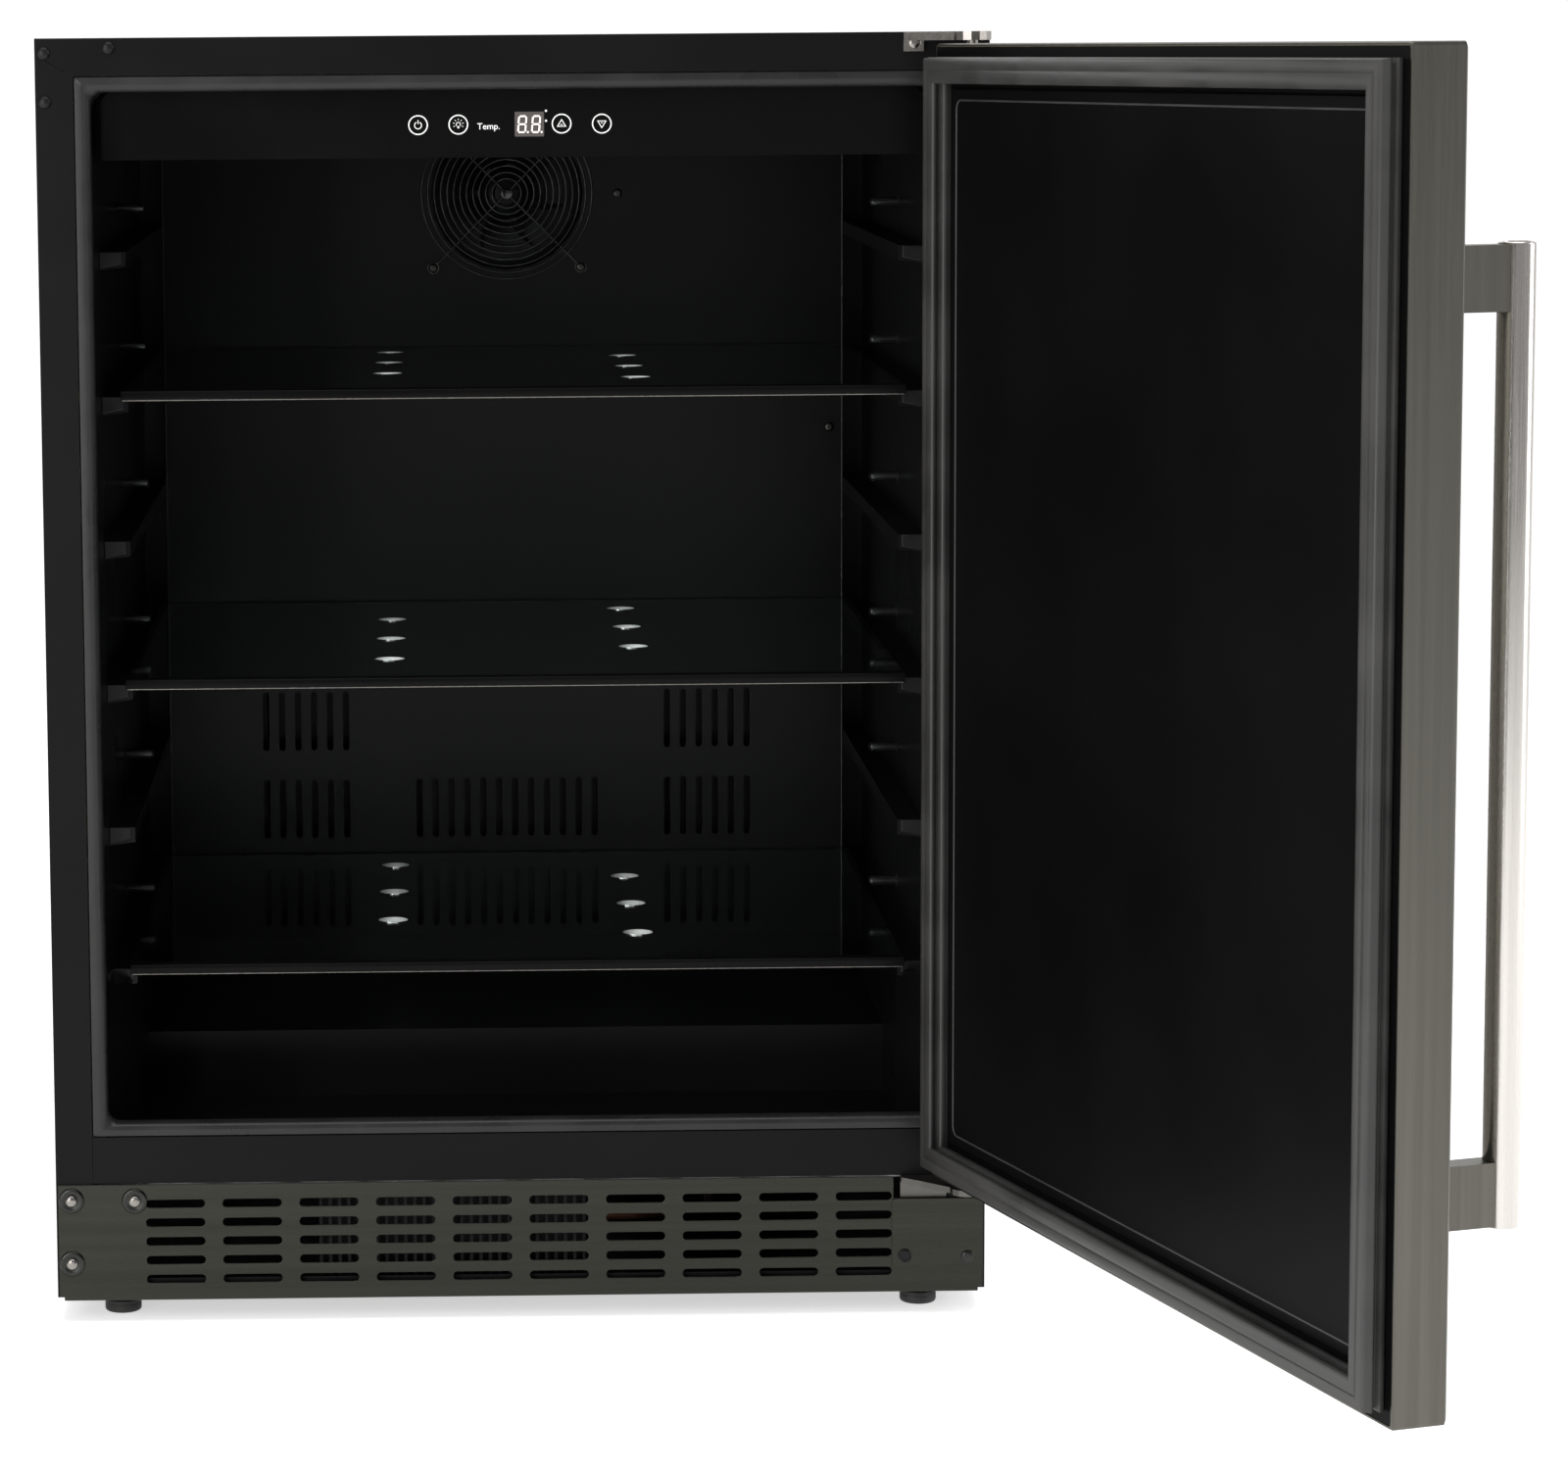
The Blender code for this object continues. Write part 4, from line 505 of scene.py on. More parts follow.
def dark_plated():
    return plating("dark_plated_steel", (0.045, 0.045, 0.042), 0.28, (0.20, 0.38))


def zinc_sheet():
    def make(name):
        recipe = Recipe(name, (0.36, 0.37, 0.39), 0.42, 1.0)
        voronoi = recipe.nodes.new("ShaderNodeTexVoronoi")
        voronoi.inputs["Scale"].default_value = 190.0
        recipe.links.new(recipe.place.outputs["Object"], voronoi.inputs["Vector"])
        spangle = voronoi.outputs["Color"]
        recipe.vary_colour(spangle, (0.34, 0.35, 0.37), (0.40, 0.41, 0.43))
        recipe.vary_roughness(spangle, 0.38, 0.46)
        return recipe.material

    return once("zinc_sheet", make)


def clear_glass(finishes):
    def make(name):
        recipe = Recipe(name, finishes.glass, 0.02)
        recipe.socket("Transmission Weight", 1.0)
        recipe.socket("IOR", 1.5)
        recipe.vary_roughness(recipe.noise(8.0, 2.0), 0.01, 0.04)
        return recipe.material

    return once("clear_glass", make)


def ground_glass():
    def make(name):
        recipe = Recipe(name, (0.80, 0.84, 0.82), 0.30)
        recipe.vary_roughness(recipe.noise(700.0, 2.0), 0.22, 0.42)
        recipe.bump(recipe.noise(1600.0, 2.0), 0.00004, 0.6)
        return recipe.material

    return once("ground_glass", make)


def lit(name, colour, strength):
    """Small lit symbol behind a clear skin."""

    def make(title):
        recipe = Recipe(title, colour, 0.45)
        recipe.socket("Emission Color", (*colour, 1.0))
        recipe.socket("Emission Strength", strength)
        recipe.vary_roughness(recipe.noise(500.0, 2.0), 0.40, 0.55)
        return recipe.material

    return once(name, make)


def simple(name, colour, roughness, metallic=0.0, grain=300.0, depth=0.00005, gloss=0.5):
    """Plain workshop finish with a fine grain."""
    sheen = (roughness - 0.06, roughness + 0.08)
    grains = ((grain, 2.0, depth, 0.4),)
    return skin(name, colour, roughness, gloss, grain * 0.1, sheen, (0.88, 1.12), grains, metallic)


# --- stage -----------------------------------------------------------------------------------------------
CAMERA_AT = (-0.0510, -2.9480, 0.8141)           # in cabinet coordinates
CAMERA_TURN = (83.2561, 0.4495, -0.7865)         # degrees
CAMERA_SHIFT = (0.1839, -0.0880)


def add_light(name, at, aim, size, power, colour=(1.0, 1.0, 1.0)):
    data = bpy.data.lights.new(name, "AREA")
    data.shape = "RECTANGLE"
    data.size, data.size_y = size
    data.energy = power
    data.color = colour
    lamp = bpy.data.objects.new(name, data)
    lamp.location = at
    lamp.rotation_euler = (Vector(aim) - Vector(at)).to_track_quat("-Z", "Y").to_euler()
    bpy.context.scene.collection.objects.link(lamp)


def add_flag(name, low, high):
    """Black card beside the camera that shows in reflections alone."""
    bm = bmesh.new()
    corners = ((low[0], low[1], low[2]), (high[0], low[1], low[2]), tuple(high), (low[0], high[1], high[2]))
    bm.faces.new([bm.verts.new(corner) for corner in corners])
    mesh = bpy.data.meshes.new(name)
    bm.to_mesh(mesh)
    bm.free()
    card = Recipe("black_card", (0.002, 0.002, 0.002), 0.9).socket("Specular IOR Level", 0.0)
    mesh.materials.append(card.material)
    flag = bpy.data.objects.new(name, mesh)
    flag.matrix_world = CABINET
    for rays in ("camera", "diffuse", "transmission", "shadow", "volume_scatter"):
        setattr(flag, "visible_" + rays, False)
    bpy.context.scene.collection.objects.link(flag)


def build_stage(finishes, sizes):
    floor_recipe = Recipe("studio_floor", finishes.floor, 0.75)
    floor_recipe.socket("Specular IOR Level", 0.1)
    floor_recipe.socket("Emission Color", (*finishes.floor, 1.0))
    floor_recipe.socket("Emission Strength", 0.62)
    floor_recipe.vary_roughness(floor_recipe.noise(2.0), 0.7, 0.8)
    bm = bmesh.new()
    reach, back, rise, bend = 14.0, 9.0, 9.0, 3.0
    profile = [(-12.0, 0.0), (back - bend, 0.0)]
    profile += [(y, z) for y, z in arc((back - bend, bend), bend, -math.pi / 2, 0.0, 12)][1:]
    profile.append((back, rise))
    rows = [[(x, y, z) for y, z in profile] for x in (-reach, reach)]
    made = [[bm.verts.new(point) for point in row] for row in rows]
    for i in range(len(profile) - 1):
        bm.faces.new((made[0][i], made[1][i], made[1][i + 1], made[0][i + 1]))
    mesh = bpy.data.meshes.new("studio_floor")
    bm.to_mesh(mesh)
    bm.free()
    mesh.materials.append(floor_recipe.material)
    mesh.shade_smooth()
    floor = bpy.data.objects.new("studio_floor", mesh)
    floor.location.z = -0.0002
    bpy.context.scene.collection.objects.link(floor)

    data = bpy.data.cameras.new("camera")
    data.sensor_width = 36.0
    data.lens = sizes.camera_lens
    data.shift_x, data.shift_y = CAMERA_SHIFT
    data.clip_start, data.clip_end = 0.05, 60.0
    camera = bpy.data.objects.new("camera", data)
    camera.location = CABINET @ Vector(CAMERA_AT)
    camera.rotation_euler = Euler([math.radians(angle) for angle in CAMERA_TURN])
    bpy.context.scene.collection.objects.link(camera)
    bpy.context.scene.camera = camera

    world = bpy.data.worlds.new("studio")
    world.use_nodes = True
    background = world.node_tree.nodes["Background"]
    background.inputs["Color"].default_value = (1.0, 1.0, 1.0, 1.0)
    background.inputs["Strength"].default_value = 0.33
    bpy.context.scene.world = world
    bpy.context.scene.view_settings.view_transform = "Standard"

    add_flag("left_flag", (-0.45, -2.0, 0.0), (-0.12, -2.0, 1.6))
    add_light("left_softbox", (-2.1, -2.3, 1.3), (0.2, -0.3, 0.5), (0.7, 2.4), 34.0)
    add_light("right_softbox", (3.0, -0.5, 1.3), (0.3, -0.4, 0.5), (1.1, 2.4), 34.0)
    add_light("left_strip", (-1.15, -2.4, 1.0), (0.25, 0.3, 0.45), (0.22, 2.0), 12.0)
    add_light("top_softbox", (0.0, -0.3, 3.6), (0.0, 0.0, 0.0), (3.0, 2.4), 60.0)


# --- cabinet ---------------------------------------------------------------------------------------------
PLUGS = ((-0.2919, 0.8087), (-0.2916, 0.7784), (-0.2517, 0.8117))


def build_cabinet(finishes, sizes):
    paint = satin_paint(finishes)
    for node in ("cabinet_side_left", "cabinet_side_right", "cabinet_top", "front_lower_rail"):
        soften(dress(node, paint), 0.0004, 2)
    dress("cabinet_back", zinc_sheet())
    for number, (x, z) in enumerate(PLUGS, start=1):
        bm = bmesh.new()
        add_lathe(bm, dome(sizes.plug_radius, sizes.plug_rise))
        place = CABINET @ on_front(x, 0.0, z)
        piece("hole_plug_%d" % number, bm, black_plastic(finishes), "cabinet", place)


BEAD_WIDTH = 0.0098
BEAD_CROWN = 0.0044                              # where the crown starts, from the steel


def build_bead(finishes, sizes):
    """Rolled moulding round the opening, with a soft crown and a shadow groove at the steel."""
    low, high = cabinet_box("front_bead_frame")
    width = high.y - low.y
    steps = 9
    section = [(0.0, 0.0016, 0.0010), (0.0006, 0.0006, 0.0012)]
    for i in range(steps + 1):
        angle = math.pi / 2 * i / steps
        reach = BEAD_CROWN + (BEAD_WIDTH - BEAD_CROWN) * math.sin(angle)
        section.append((reach, 0.0002 + 0.0048 * (1 - math.cos(angle)), 0.002 + 0.006 * i / steps))
    section += [(BEAD_WIDTH, width + 0.0002, 0.008), (0.0, width + 0.0002, 0.0010)]
    rows = []
    for inset, depth, radius in section:
        corner_low = (low.x + inset, low.z + inset * 0.85)
        corner_high = (high.x - inset, high.z - inset)
        rows.append([(x, depth, z) for x, z in rounded(corner_low, corner_high, radius, 8)])
    bm = bmesh.new()
    add_rows(bm, rows, ring=True)
    plastic = bead_plastic(finishes)
    piece("opening_bead", bm, plastic, "cabinet", CABINET, 0.0, ("front_bead_frame",), angle=50.0)


# --- liner -----------------------------------------------------------------------------------------------
RIB_TOPS = tuple(0.6825 - 0.093 * i for i in range(6))
RIB_HEIGHT = 0.0108
PEG_OVER_RIB = 0.022
PEG_AT = (0.235, 0.300)


LINER_WALL = 0.002
CAP_REACH = 0.0145                               # how far a rib's front face stands out from the wall
CAP_FRONT = 0.0612
CAP_BACK = 0.0622
CAP_SLOPE = 0.0030                               # rise of a rib's under side from the wall to its nose


def build_rib_cap(side, word, number, top, inner, cap):
    """Front face of one shelf rib."""
    nose = inner - CAP_REACH
    outline = [
        (side * inner, top),
        (side * nose, top),
        (side * nose, top - RIB_HEIGHT + CAP_SLOPE),
        (side * inner, top - RIB_HEIGHT),
    ]
    middle_x = sum(x for x, _ in outline) / 4
    middle_z = sum(z for _, z in outline) / 4
    rows = []
    for depth, shrink in ((CAP_BACK, 0.0), (CAP_FRONT + 0.0004, 0.0), (CAP_FRONT, 0.0006)):
        row = []
        for x, z in outline:
            inwards_x = 1 if x < middle_x else -1
            inwards_z = 1 if z < middle_z else -1
            row.append((x + shrink * inwards_x, depth, z + shrink * inwards_z))
        rows.append(row)
    bm = bmesh.new()
    add_rows(bm, rows)
    piece("rib_cap_%s_%d" % (word, number), bm, cap, "cabinet", CABINET, 0.0003)


def build_stop_peg(side, word, number, top, inner, radius, plastic):
    """Round peg over one shelf rib, on a low collar."""
    collar = 0.0012
    profile = [(radius * 1.5, 0.0), (radius * 1.2, collar)]
    profile += [(r, height + collar) for r, height in dome(radius, 0.0185, 0.0160)]
    bm = bmesh.new()
    add_lathe(bm, profile, 20)
    at = (side * (inner + 0.0002), PEG_AT[0], top + PEG_OVER_RIB)
    place = CABINET @ facing(at, (-side, 0.0, 0.0))
    piece("stop_peg_%s_%d" % (word, number), bm, plastic, "cabinet", place)


def build_liner(finishes, sizes):
    soften(dress("inner_liner", moulded_liner(finishes)), 0.0022, 3)
    dress("insulation_foam", simple("cream_foam", (0.70, 0.60, 0.38), 0.9, 0.0, 90.0, 0.0004))
    _, high = cabinet_box("inner_liner")
    inner = high.x - LINER_WALL
    cap = simple("rib_cap_plastic", (0.008, 0.008, 0.009), 0.36, 0.0, 700.0, gloss=0.3)
    pegs = simple("peg_plastic", (0.016, 0.016, 0.017), 0.20, 0.0, 800.0, 0.00002)
    for side, word in ((-1, "left"), (1, "right")):
        for number, top in enumerate(RIB_TOPS, start=1):
            build_rib_cap(side, word, number, top, inner, cap)
            build_stop_peg(side, word, number, top, inner, sizes.peg_radius, pegs)


# --- control strip ---------------------------------------------------------------------------------------
PADS = (
    ("power", -0.0594, 0.7621),
    ("lamp", -0.0341, 0.7622),
    ("warmer", 0.0309, 0.7623),
    ("colder", 0.0562, 0.7621),
)
PRINT_DEPTH = 0.00012


def add_line(bm, start, end, width, depth=PRINT_DEPTH):
    start, end = Vector(start), Vector(end)
    side = (end - start).orthogonal().normalized() * width / 2
    corners = [start - side, end - side, end + side, start + side]
    add_plate(bm, [tuple(corner) for corner in corners], (), 0.0, depth)


def add_ring(bm, centre, radius, width, depth=PRINT_DEPTH, start=0.0, sweep=2 * math.pi, steps=40):
    if sweep >= 2 * math.pi:
        hole = circle(centre, radius - width / 2, steps)
        add_plate(bm, circle(centre, radius + width / 2, steps), [hole], 0.0, depth)
        return
    outline = arc(centre, radius + width / 2, start, start + sweep, steps)
    outline += arc(centre, radius - width / 2, start + sweep, start, steps)
    add_plate(bm, outline, (), 0.0, depth)


def add_triangle(bm, up):
    """Outlined triangle with a short bar inside it."""
    sign = 1 if up else -1
    outer = [(-0.0030, -0.0019 * sign), (0.0030, -0.0019 * sign), (0.0, 0.0030 * sign)]
    inner = [(x * 0.74, y * 0.74 - 0.0001 * sign) for x, y in outer]
    add_plate(bm, outer, [inner], 0.0, PRINT_DEPTH)
    add_line(bm, (-0.0008, -0.0006 * sign), (0.0008, -0.0006 * sign), 0.0004)


def add_bulb(bm):
    add_ring(bm, (0.0, 0.0001), 0.0013, 0.0004, start=-math.pi * 0.22, sweep=math.pi * 1.44, steps=24)
    add_line(bm, (-0.0008, -0.0013), (0.0008, -0.0013), 0.0005)
    add_line(bm, (-0.0005, -0.0021), (0.0005, -0.0021), 0.0005)
    for i in range(7):
        angle = math.pi * (i / 6 * 1.3 - 0.15)
        inner = (0.0023 * math.cos(angle), 0.0003 + 0.0023 * math.sin(angle))
        outer = (0.0035 * math.cos(angle), 0.0003 + 0.0035 * math.sin(angle))
        add_line(bm, inner, outer, 0.0003)


def add_power(bm):
    add_ring(bm, (0.0, -0.0002), 0.0022, 0.0005, start=math.pi * 0.66, sweep=math.pi * 1.68, steps=30)
    add_line(bm, (0.0, 0.0006), (0.0, 0.0031), 0.0005)


def add_word(bm, word, height):
    """Plain printed word, centred on the part's own origin."""
    curve = bpy.data.curves.new(word, "FONT")
    curve.body = word
    curve.size = height
    curve.extrude = PRINT_DEPTH / 2
    curve.align_x, curve.align_y = "CENTER", "CENTER"
    holder = bpy.data.objects.new(word, curve)
    bpy.context.scene.collection.objects.link(holder)
    solid = bpy.data.meshes.new_from_object(holder.evaluated_get(bpy.context.evaluated_depsgraph_get()))
    solid.transform(Matrix.Translation((0.0, 0.0, PRINT_DEPTH / 2)))
    bm.from_mesh(solid)
    bpy.data.objects.remove(holder)
    bpy.data.curves.remove(curve)
    bpy.data.meshes.remove(solid)


SEGMENTS = (
    ((0, 2), (1, 2)), ((0, 1), (1, 1)), ((0, 0), (1, 0)),
    ((0, 0), (0, 1)), ((0, 1), (0, 2)), ((1, 0), (1, 1)), ((1, 1), (1, 2)),
)


def add_digit(bm, left, bottom, width, height, stroke, lean=0.08):
    gap = stroke * 0.55
    for start, end in SEGMENTS:
        points = []
        for column, row in (start, end):
            y = bottom + row * height / 2
            points.append(Vector((left + column * width + lean * (y - bottom), y)))
        along = (points[1] - points[0]).normalized() * gap
        add_line(bm, points[0] + along, points[1] - along, stroke, PRINT_DEPTH * 1.5)


def build_control_strip(finishes, sizes):
    strip = strip_plastic(finishes)
    soften(dress("control_fascia", strip), 0.0005, 3)
    soften(dress("control_housing", moulded_liner(finishes)), 0.0005)
    dress("control_board", simple("green_board", (0.02, 0.12, 0.05), 0.45))
    dress("display_module", simple("display_body", (0.30, 0.30, 0.30), 0.5))
    dress("interior_light", lit("lamp_diffuser", (0.80, 0.84, 0.90), 0.0))
    low, _ = cabinet_box("control_fascia")
    face = low.y
    white = lit("lit_symbols", finishes.print, 0.55)
    drawings = {"power": add_power, "lamp": add_bulb}
    for word, x, z in PADS:
        bm = bmesh.new()
        add_ring(bm, (0.0, 0.0), sizes.pad_radius - sizes.line_width / 2, sizes.line_width)
        if word in drawings:
            drawings[word](bm)
        else:
            add_triangle(bm, word == "warmer")
        piece("pad_symbol_" + word, bm, white, "cabinet", CABINET @ on_front(x, face, z))
    bm = bmesh.new()
    add_word(bm, "Temp.", 0.0056)
    piece("temperature_word", bm, white, "cabinet", CABINET @ on_front(-0.0150, face, 0.7608))
    for number, z in enumerate((0.7704, 0.7642), start=1):
        bm = bmesh.new()
        add_lathe(bm, dome(0.0007, 0.0003, 0.0001), 16)
        place = CABINET @ on_front(0.0211, face, z)
        piece("indicator_%d" % number, bm, white, "cabinet", place)
    low, high = cabinet_box("display_module")
    bm = bmesh.new()
    add_plate(bm, rounded((low.x, low.z), (high.x, high.z), 0.0004, 3), (), 0.0, PRINT_DEPTH)
    lens = lit("display_lens", (0.095, 0.080, 0.074), 0.12)
    place = CABINET @ on_front(0.0, face, 0.0)
    piece("display_lens", bm, lens, "cabinet", place)
    bm = bmesh.new()
    middle = (low.z + high.z) / 2
    for left in (low.x + 0.0020, low.x + 0.0107):
        add_digit(bm, left, middle - 0.0050, 0.0046, 0.0100, 0.0009)
        add_plate(bm, circle((left + 0.0062, middle - 0.0050), 0.0006, 12), (), 0.0, PRINT_DEPTH * 1.5)
    digits = lit("display_digits", (1.0, 0.93, 0.88), 1.1)
    piece("display_digits", bm, digits, "cabinet", place)


# --- air duct --------------------------------------------------------------------------------------------
PANEL_SCREWS = ((0.237, 0.533), (0.0832, 0.7042))


def build_grille(finishes, sizes, centre, front):
    """Wire guard: rings on four spokes that end in screw eyes."""
    bm = bmesh.new()
    wire = sizes.grille_wire
    outer = 0.0618
    inner = 0.0105
    for i in range(sizes.grille_rings):
        radius = inner + (outer - inner) * i / (sizes.grille_rings - 1)
        add_torus(bm, radius, wire, 72, 8, wire)
    add_lathe(bm, [(0.0, 0.0), (0.0040, 0.0), (0.0040, 0.0010), (0.0, 0.0016)], 24)
    eye = 0.0758
    for quarter in range(4):
        angle = math.pi / 4 + quarter * math.pi / 2
        heading = Vector((math.cos(angle), math.sin(angle), 0.0))
        lift = Vector((0.0, 0.0, -wire * 0.6))
        add_wire(bm, heading * 0.004 + lift, heading * (eye - 0.0040) + lift, wire * 1.15)
        add_torus(bm, 0.0040, wire, 20, 8, -wire * 0.6, (eye * math.cos(angle), eye * math.sin(angle)))
    material = simple("black_wire", (0.007, 0.007, 0.007), 0.16, 0.0, 500.0, gloss=0.7)
    place = CABINET @ on_front(centre[0], front, centre[1])
    piece("fan_guard", bm, material, "cabinet", place, replaces=("fan_grille",), angle=60.0)
    for quarter in range(4):
        angle = math.pi / 4 + quarter * math.pi / 2
        bm = bmesh.new()
        cross_screw(bm, 0.0036, 0.0018)
        at = (centre[0] + eye * math.cos(angle), front, centre[1] + eye * math.sin(angle))
        place = CABINET @ on_front(*at)
        piece("guard_screw_%d" % (quarter + 1), bm, dark_plated(), "cabinet", place)


# Across a blade: place along the chord from -1 to 1, and height of the skin over the middle of the sheet.
BLADE_SECTION = ((-1, 0.0), (-0.4, 0.0006), (0.4, 0.0006), (1, 0.0), (0.4, -0.0002), (-0.4, -0.0002))


def build_rotor(node, body, name, blades=7):
    """Fan wheel with twisted blades, inside the room of its frame node."""
    low, high = cabinet_box(node)
    centre = (low + high) / 2
    depth = high.y - low.y
    tip = (high.x - low.x) / 2
    hub = tip * 0.38
    bm = bmesh.new()
    bore = 0.0026
    add_lathe(bm, [(bore, 0.0), (hub, 0.0), (hub, depth * 0.86), (hub - 0.0015, depth), (bore, depth)], 40)
    for blade in range(blades):
        start = 2 * math.pi * blade / blades
        rows = []
        for i in range(7):
            share = i / 6
            radius = hub * 0.97 + (tip - hub * 0.97) * share
            sweep = start + 0.30 * share
            chord = 0.30 + 0.18 * share
            pitch = 0.80 - 0.35 * share
            row = []
            for side, half in BLADE_SECTION:
                angle = sweep + side * chord
                height = depth / 2 + side * depth * 0.42 * pitch + half
                row.append((radius * math.cos(angle), radius * math.sin(angle), height))
            rows.append(row)
        add_rows(bm, rows)
    material = simple("fan_plastic", (0.003, 0.003, 0.0031), 0.40, 0.0, 500.0, gloss=0.15)
    place = CABINET @ on_front(centre.x, high.y, centre.z)
    piece(name, bm, material, body, place, replaces=(node,), angle=50.0)


def build_panel_edge_highlights():
    """Thin lighter wires down both edges of the duct panel, from top to foot: a painted highlight that draws
    the bright lines of the edges.
    """
    low, high = cabinet_box("duct_panel")
    # Lighter glossy colour on thin wires: a painted highlight down the panel's edges.
    highlight_finish = simple("duct_edge_painted_highlight", (0.030, 0.030, 0.031), 0.22, 0.0, 500.0)
    for side, x in ((-1, low.x + 0.0006), (1, high.x - 0.0006)):
        bm = bmesh.new()
        add_wire(bm, (x, low.y, low.z + 0.002), (x, low.y, high.z - 0.002), 0.0005, 12)
        piece("duct_panel_highlight_wire_%s" % ("left" if side < 0 else "right"), bm, highlight_finish, "cabinet", CABINET)


def build_air_duct(finishes, sizes):
    soften(dress("duct_panel", moulded_liner(finishes)), 0.0006, 2)
    low, high = cabinet_box("fan_grille")
    centre = ((low.x + high.x) / 2, (low.z + high.z) / 2)
    build_grille(finishes, sizes, centre, high.y - 0.0004)
    build_rotor("evaporator_fan_rotor", "evaporator_fan", "evaporator_fan_wheel")
    dress("evaporator_fan_motor", simple("motor_can", (0.10, 0.10, 0.10), 0.4, 0.6))
    panel_low, _ = cabinet_box("duct_panel")
    for number, (x, z) in enumerate(PANEL_SCREWS, start=1):
        bm = bmesh.new()
        cross_screw(bm, 0.0034, 0.0017)
        place = CABINET @ on_front(x, panel_low.y, z, 0.4 * number)
        piece("panel_screw_%d" % number, bm, dark_plated(), "cabinet", place)
    build_panel_edge_highlights()
    fins = simple("bare_fins", (0.62, 0.63, 0.64), 0.34, 1.0)
    dress("evaporator", fins)
    grey = simple("grey_plastic", (0.20, 0.20, 0.21), 0.5)
    for node in ("drain_trough", "drain_tube", "temperature_sensor"):
        dress(node, grey)


# --- shelves ---------------------------------------------------------------------------------------------
HOLE_RADIUS = 0.010
HOLE_X = 0.082
HOLE_ROWS = (0.150, 0.257, 0.364)
HOLE_SHIFT = 0.0535


def tint_rim(mesh, edge):
    """Dark green finish on the outer edge of a pane."""
    mesh.materials.append(edge)
    reach = max(abs(vert.co.x - CABINET_ORIGIN.x) for vert in mesh.vertices)
    back = max(vert.co.y for vert in mesh.vertices)
    for face in mesh.polygons:
        sideways = abs(face.normal.z) < 0.5
        outside = abs(face.center.x - CABINET_ORIGIN.x) > reach - 0.001 or face.center.y > back - 0.001
        if sideways and outside:
            face.material_index = 1


def build_shelf(finishes, sizes, number):
    body = "shelf_%d" % number
    low, high = cabinet_box(body + "_glass")
    bm = bmesh.new()
    centres = []
    turned = -1 if number == 2 else 1
    for column, shift in ((turned, 0.0), (-turned, HOLE_SHIFT)):
        centres += [(column * HOLE_X, row + shift) for row in HOLE_ROWS]
    corners = [(low.x, low.y), (high.x, low.y), (high.x, high.y), (low.x, high.y)]
    holes = [circle(centre, HOLE_RADIUS, 48) for centre in centres]
    add_plate(bm, corners, holes, low.z, high.z)
    glass = clear_glass(finishes)
    pane = piece(body + "_pane", bm, glass, body, CABINET, sizes.glass_edge, (body + "_glass",))
    tint_rim(pane.data, simple("green_edge", (0.008, 0.026, 0.020), 0.28, 0.0, 600.0))
    bm = bmesh.new()
    for centre in centres:
        wall = 0.0004
        rows = []
        for radius, level in (
            (HOLE_RADIUS - 0.0001, low.z + 0.0003),
            (HOLE_RADIUS - 0.0001, high.z - 0.0003),
            (HOLE_RADIUS - 0.0001 - wall, high.z - 0.0006),
            (HOLE_RADIUS - 0.0001 - wall, low.z + 0.0006),
        ):
            rows.append([(x, y, level) for x, y in circle(centre, radius, 48)])
        add_rows(bm, rows, ring=True)
    piece(body + "_hole_rims", bm, ground_glass(), body, CABINET)

    low, high = cabinet_box(body + "_trim")
    round_off = 0.0018
    section = [(high.y, low.z), (high.y, high.z)]
    section += arc((low.y + round_off, high.z - round_off), round_off, math.pi / 2, math.pi, 5)
    small = round_off * 0.5
    section += arc((low.y + small, low.z + small), small, math.pi, 1.5 * math.pi, 3)
    bm = bmesh.new()
    add_rows(bm, [[(x, y, z) for y, z in section] for x in (low.x, high.x)])
    rail = strip_plastic(finishes)
    piece(body + "_front_rail", bm, rail, body, CABINET, 0.0002, (body + "_trim",), angle=40)
    bm = bmesh.new()
    lip = 0.0004
    ends = [(x, low.y + 0.0004, low.z + lip) for x in (low.x + 0.001, high.x - 0.001)]
    add_wire(bm, *ends, lip, 12)
    piece(body + "_lip", bm, plated(), body, CABINET)


def build_shelves(finishes, sizes):
    for number in (1, 2, 3):
        build_shelf(finishes, sizes, number)


# --- door ------------------------------------------------------------------------------------------------
def build_door(finishes, sizes):
    soften(dress("door_skin", door_steel(finishes)), 0.0005, 2)
    soften(dress("door_liner", door_panel_plastic(finishes)), 0.0008, 2)
    dress("door_foam", simple("cream_foam", (0.70, 0.60, 0.38), 0.9, 0.0, 90.0, 0.0004))
    build_gasket(finishes, sizes)
    build_panel_ridge(finishes, sizes)


def build_panel_ridge(finishes, sizes):
    """Fine raised line that runs round the inner panel beside the seal."""
    low, high = closed_box("door_skin")
    _, panel = closed_box("door_liner")
    inset = sizes.ridge_inset
    rows = []
    for offset, rise in ((-0.0008, -0.0002), (-0.0004, 0.0004), (0.0004, 0.0004), (0.0008, -0.0002)):
        corner_low = (low.x + inset + offset, low.z + inset + offset)
        corner_high = (high.x - inset - offset, high.z - inset - offset)
        rows.append([(x, panel.y + rise, z) for x, z in rounded(corner_low, corner_high, 0.006 - offset, 6)])
    bm = bmesh.new()
    add_rows(bm, rows, ring=True)
    piece("door_panel_ridge", bm, gasket_rubber(finishes), "door", DOOR)


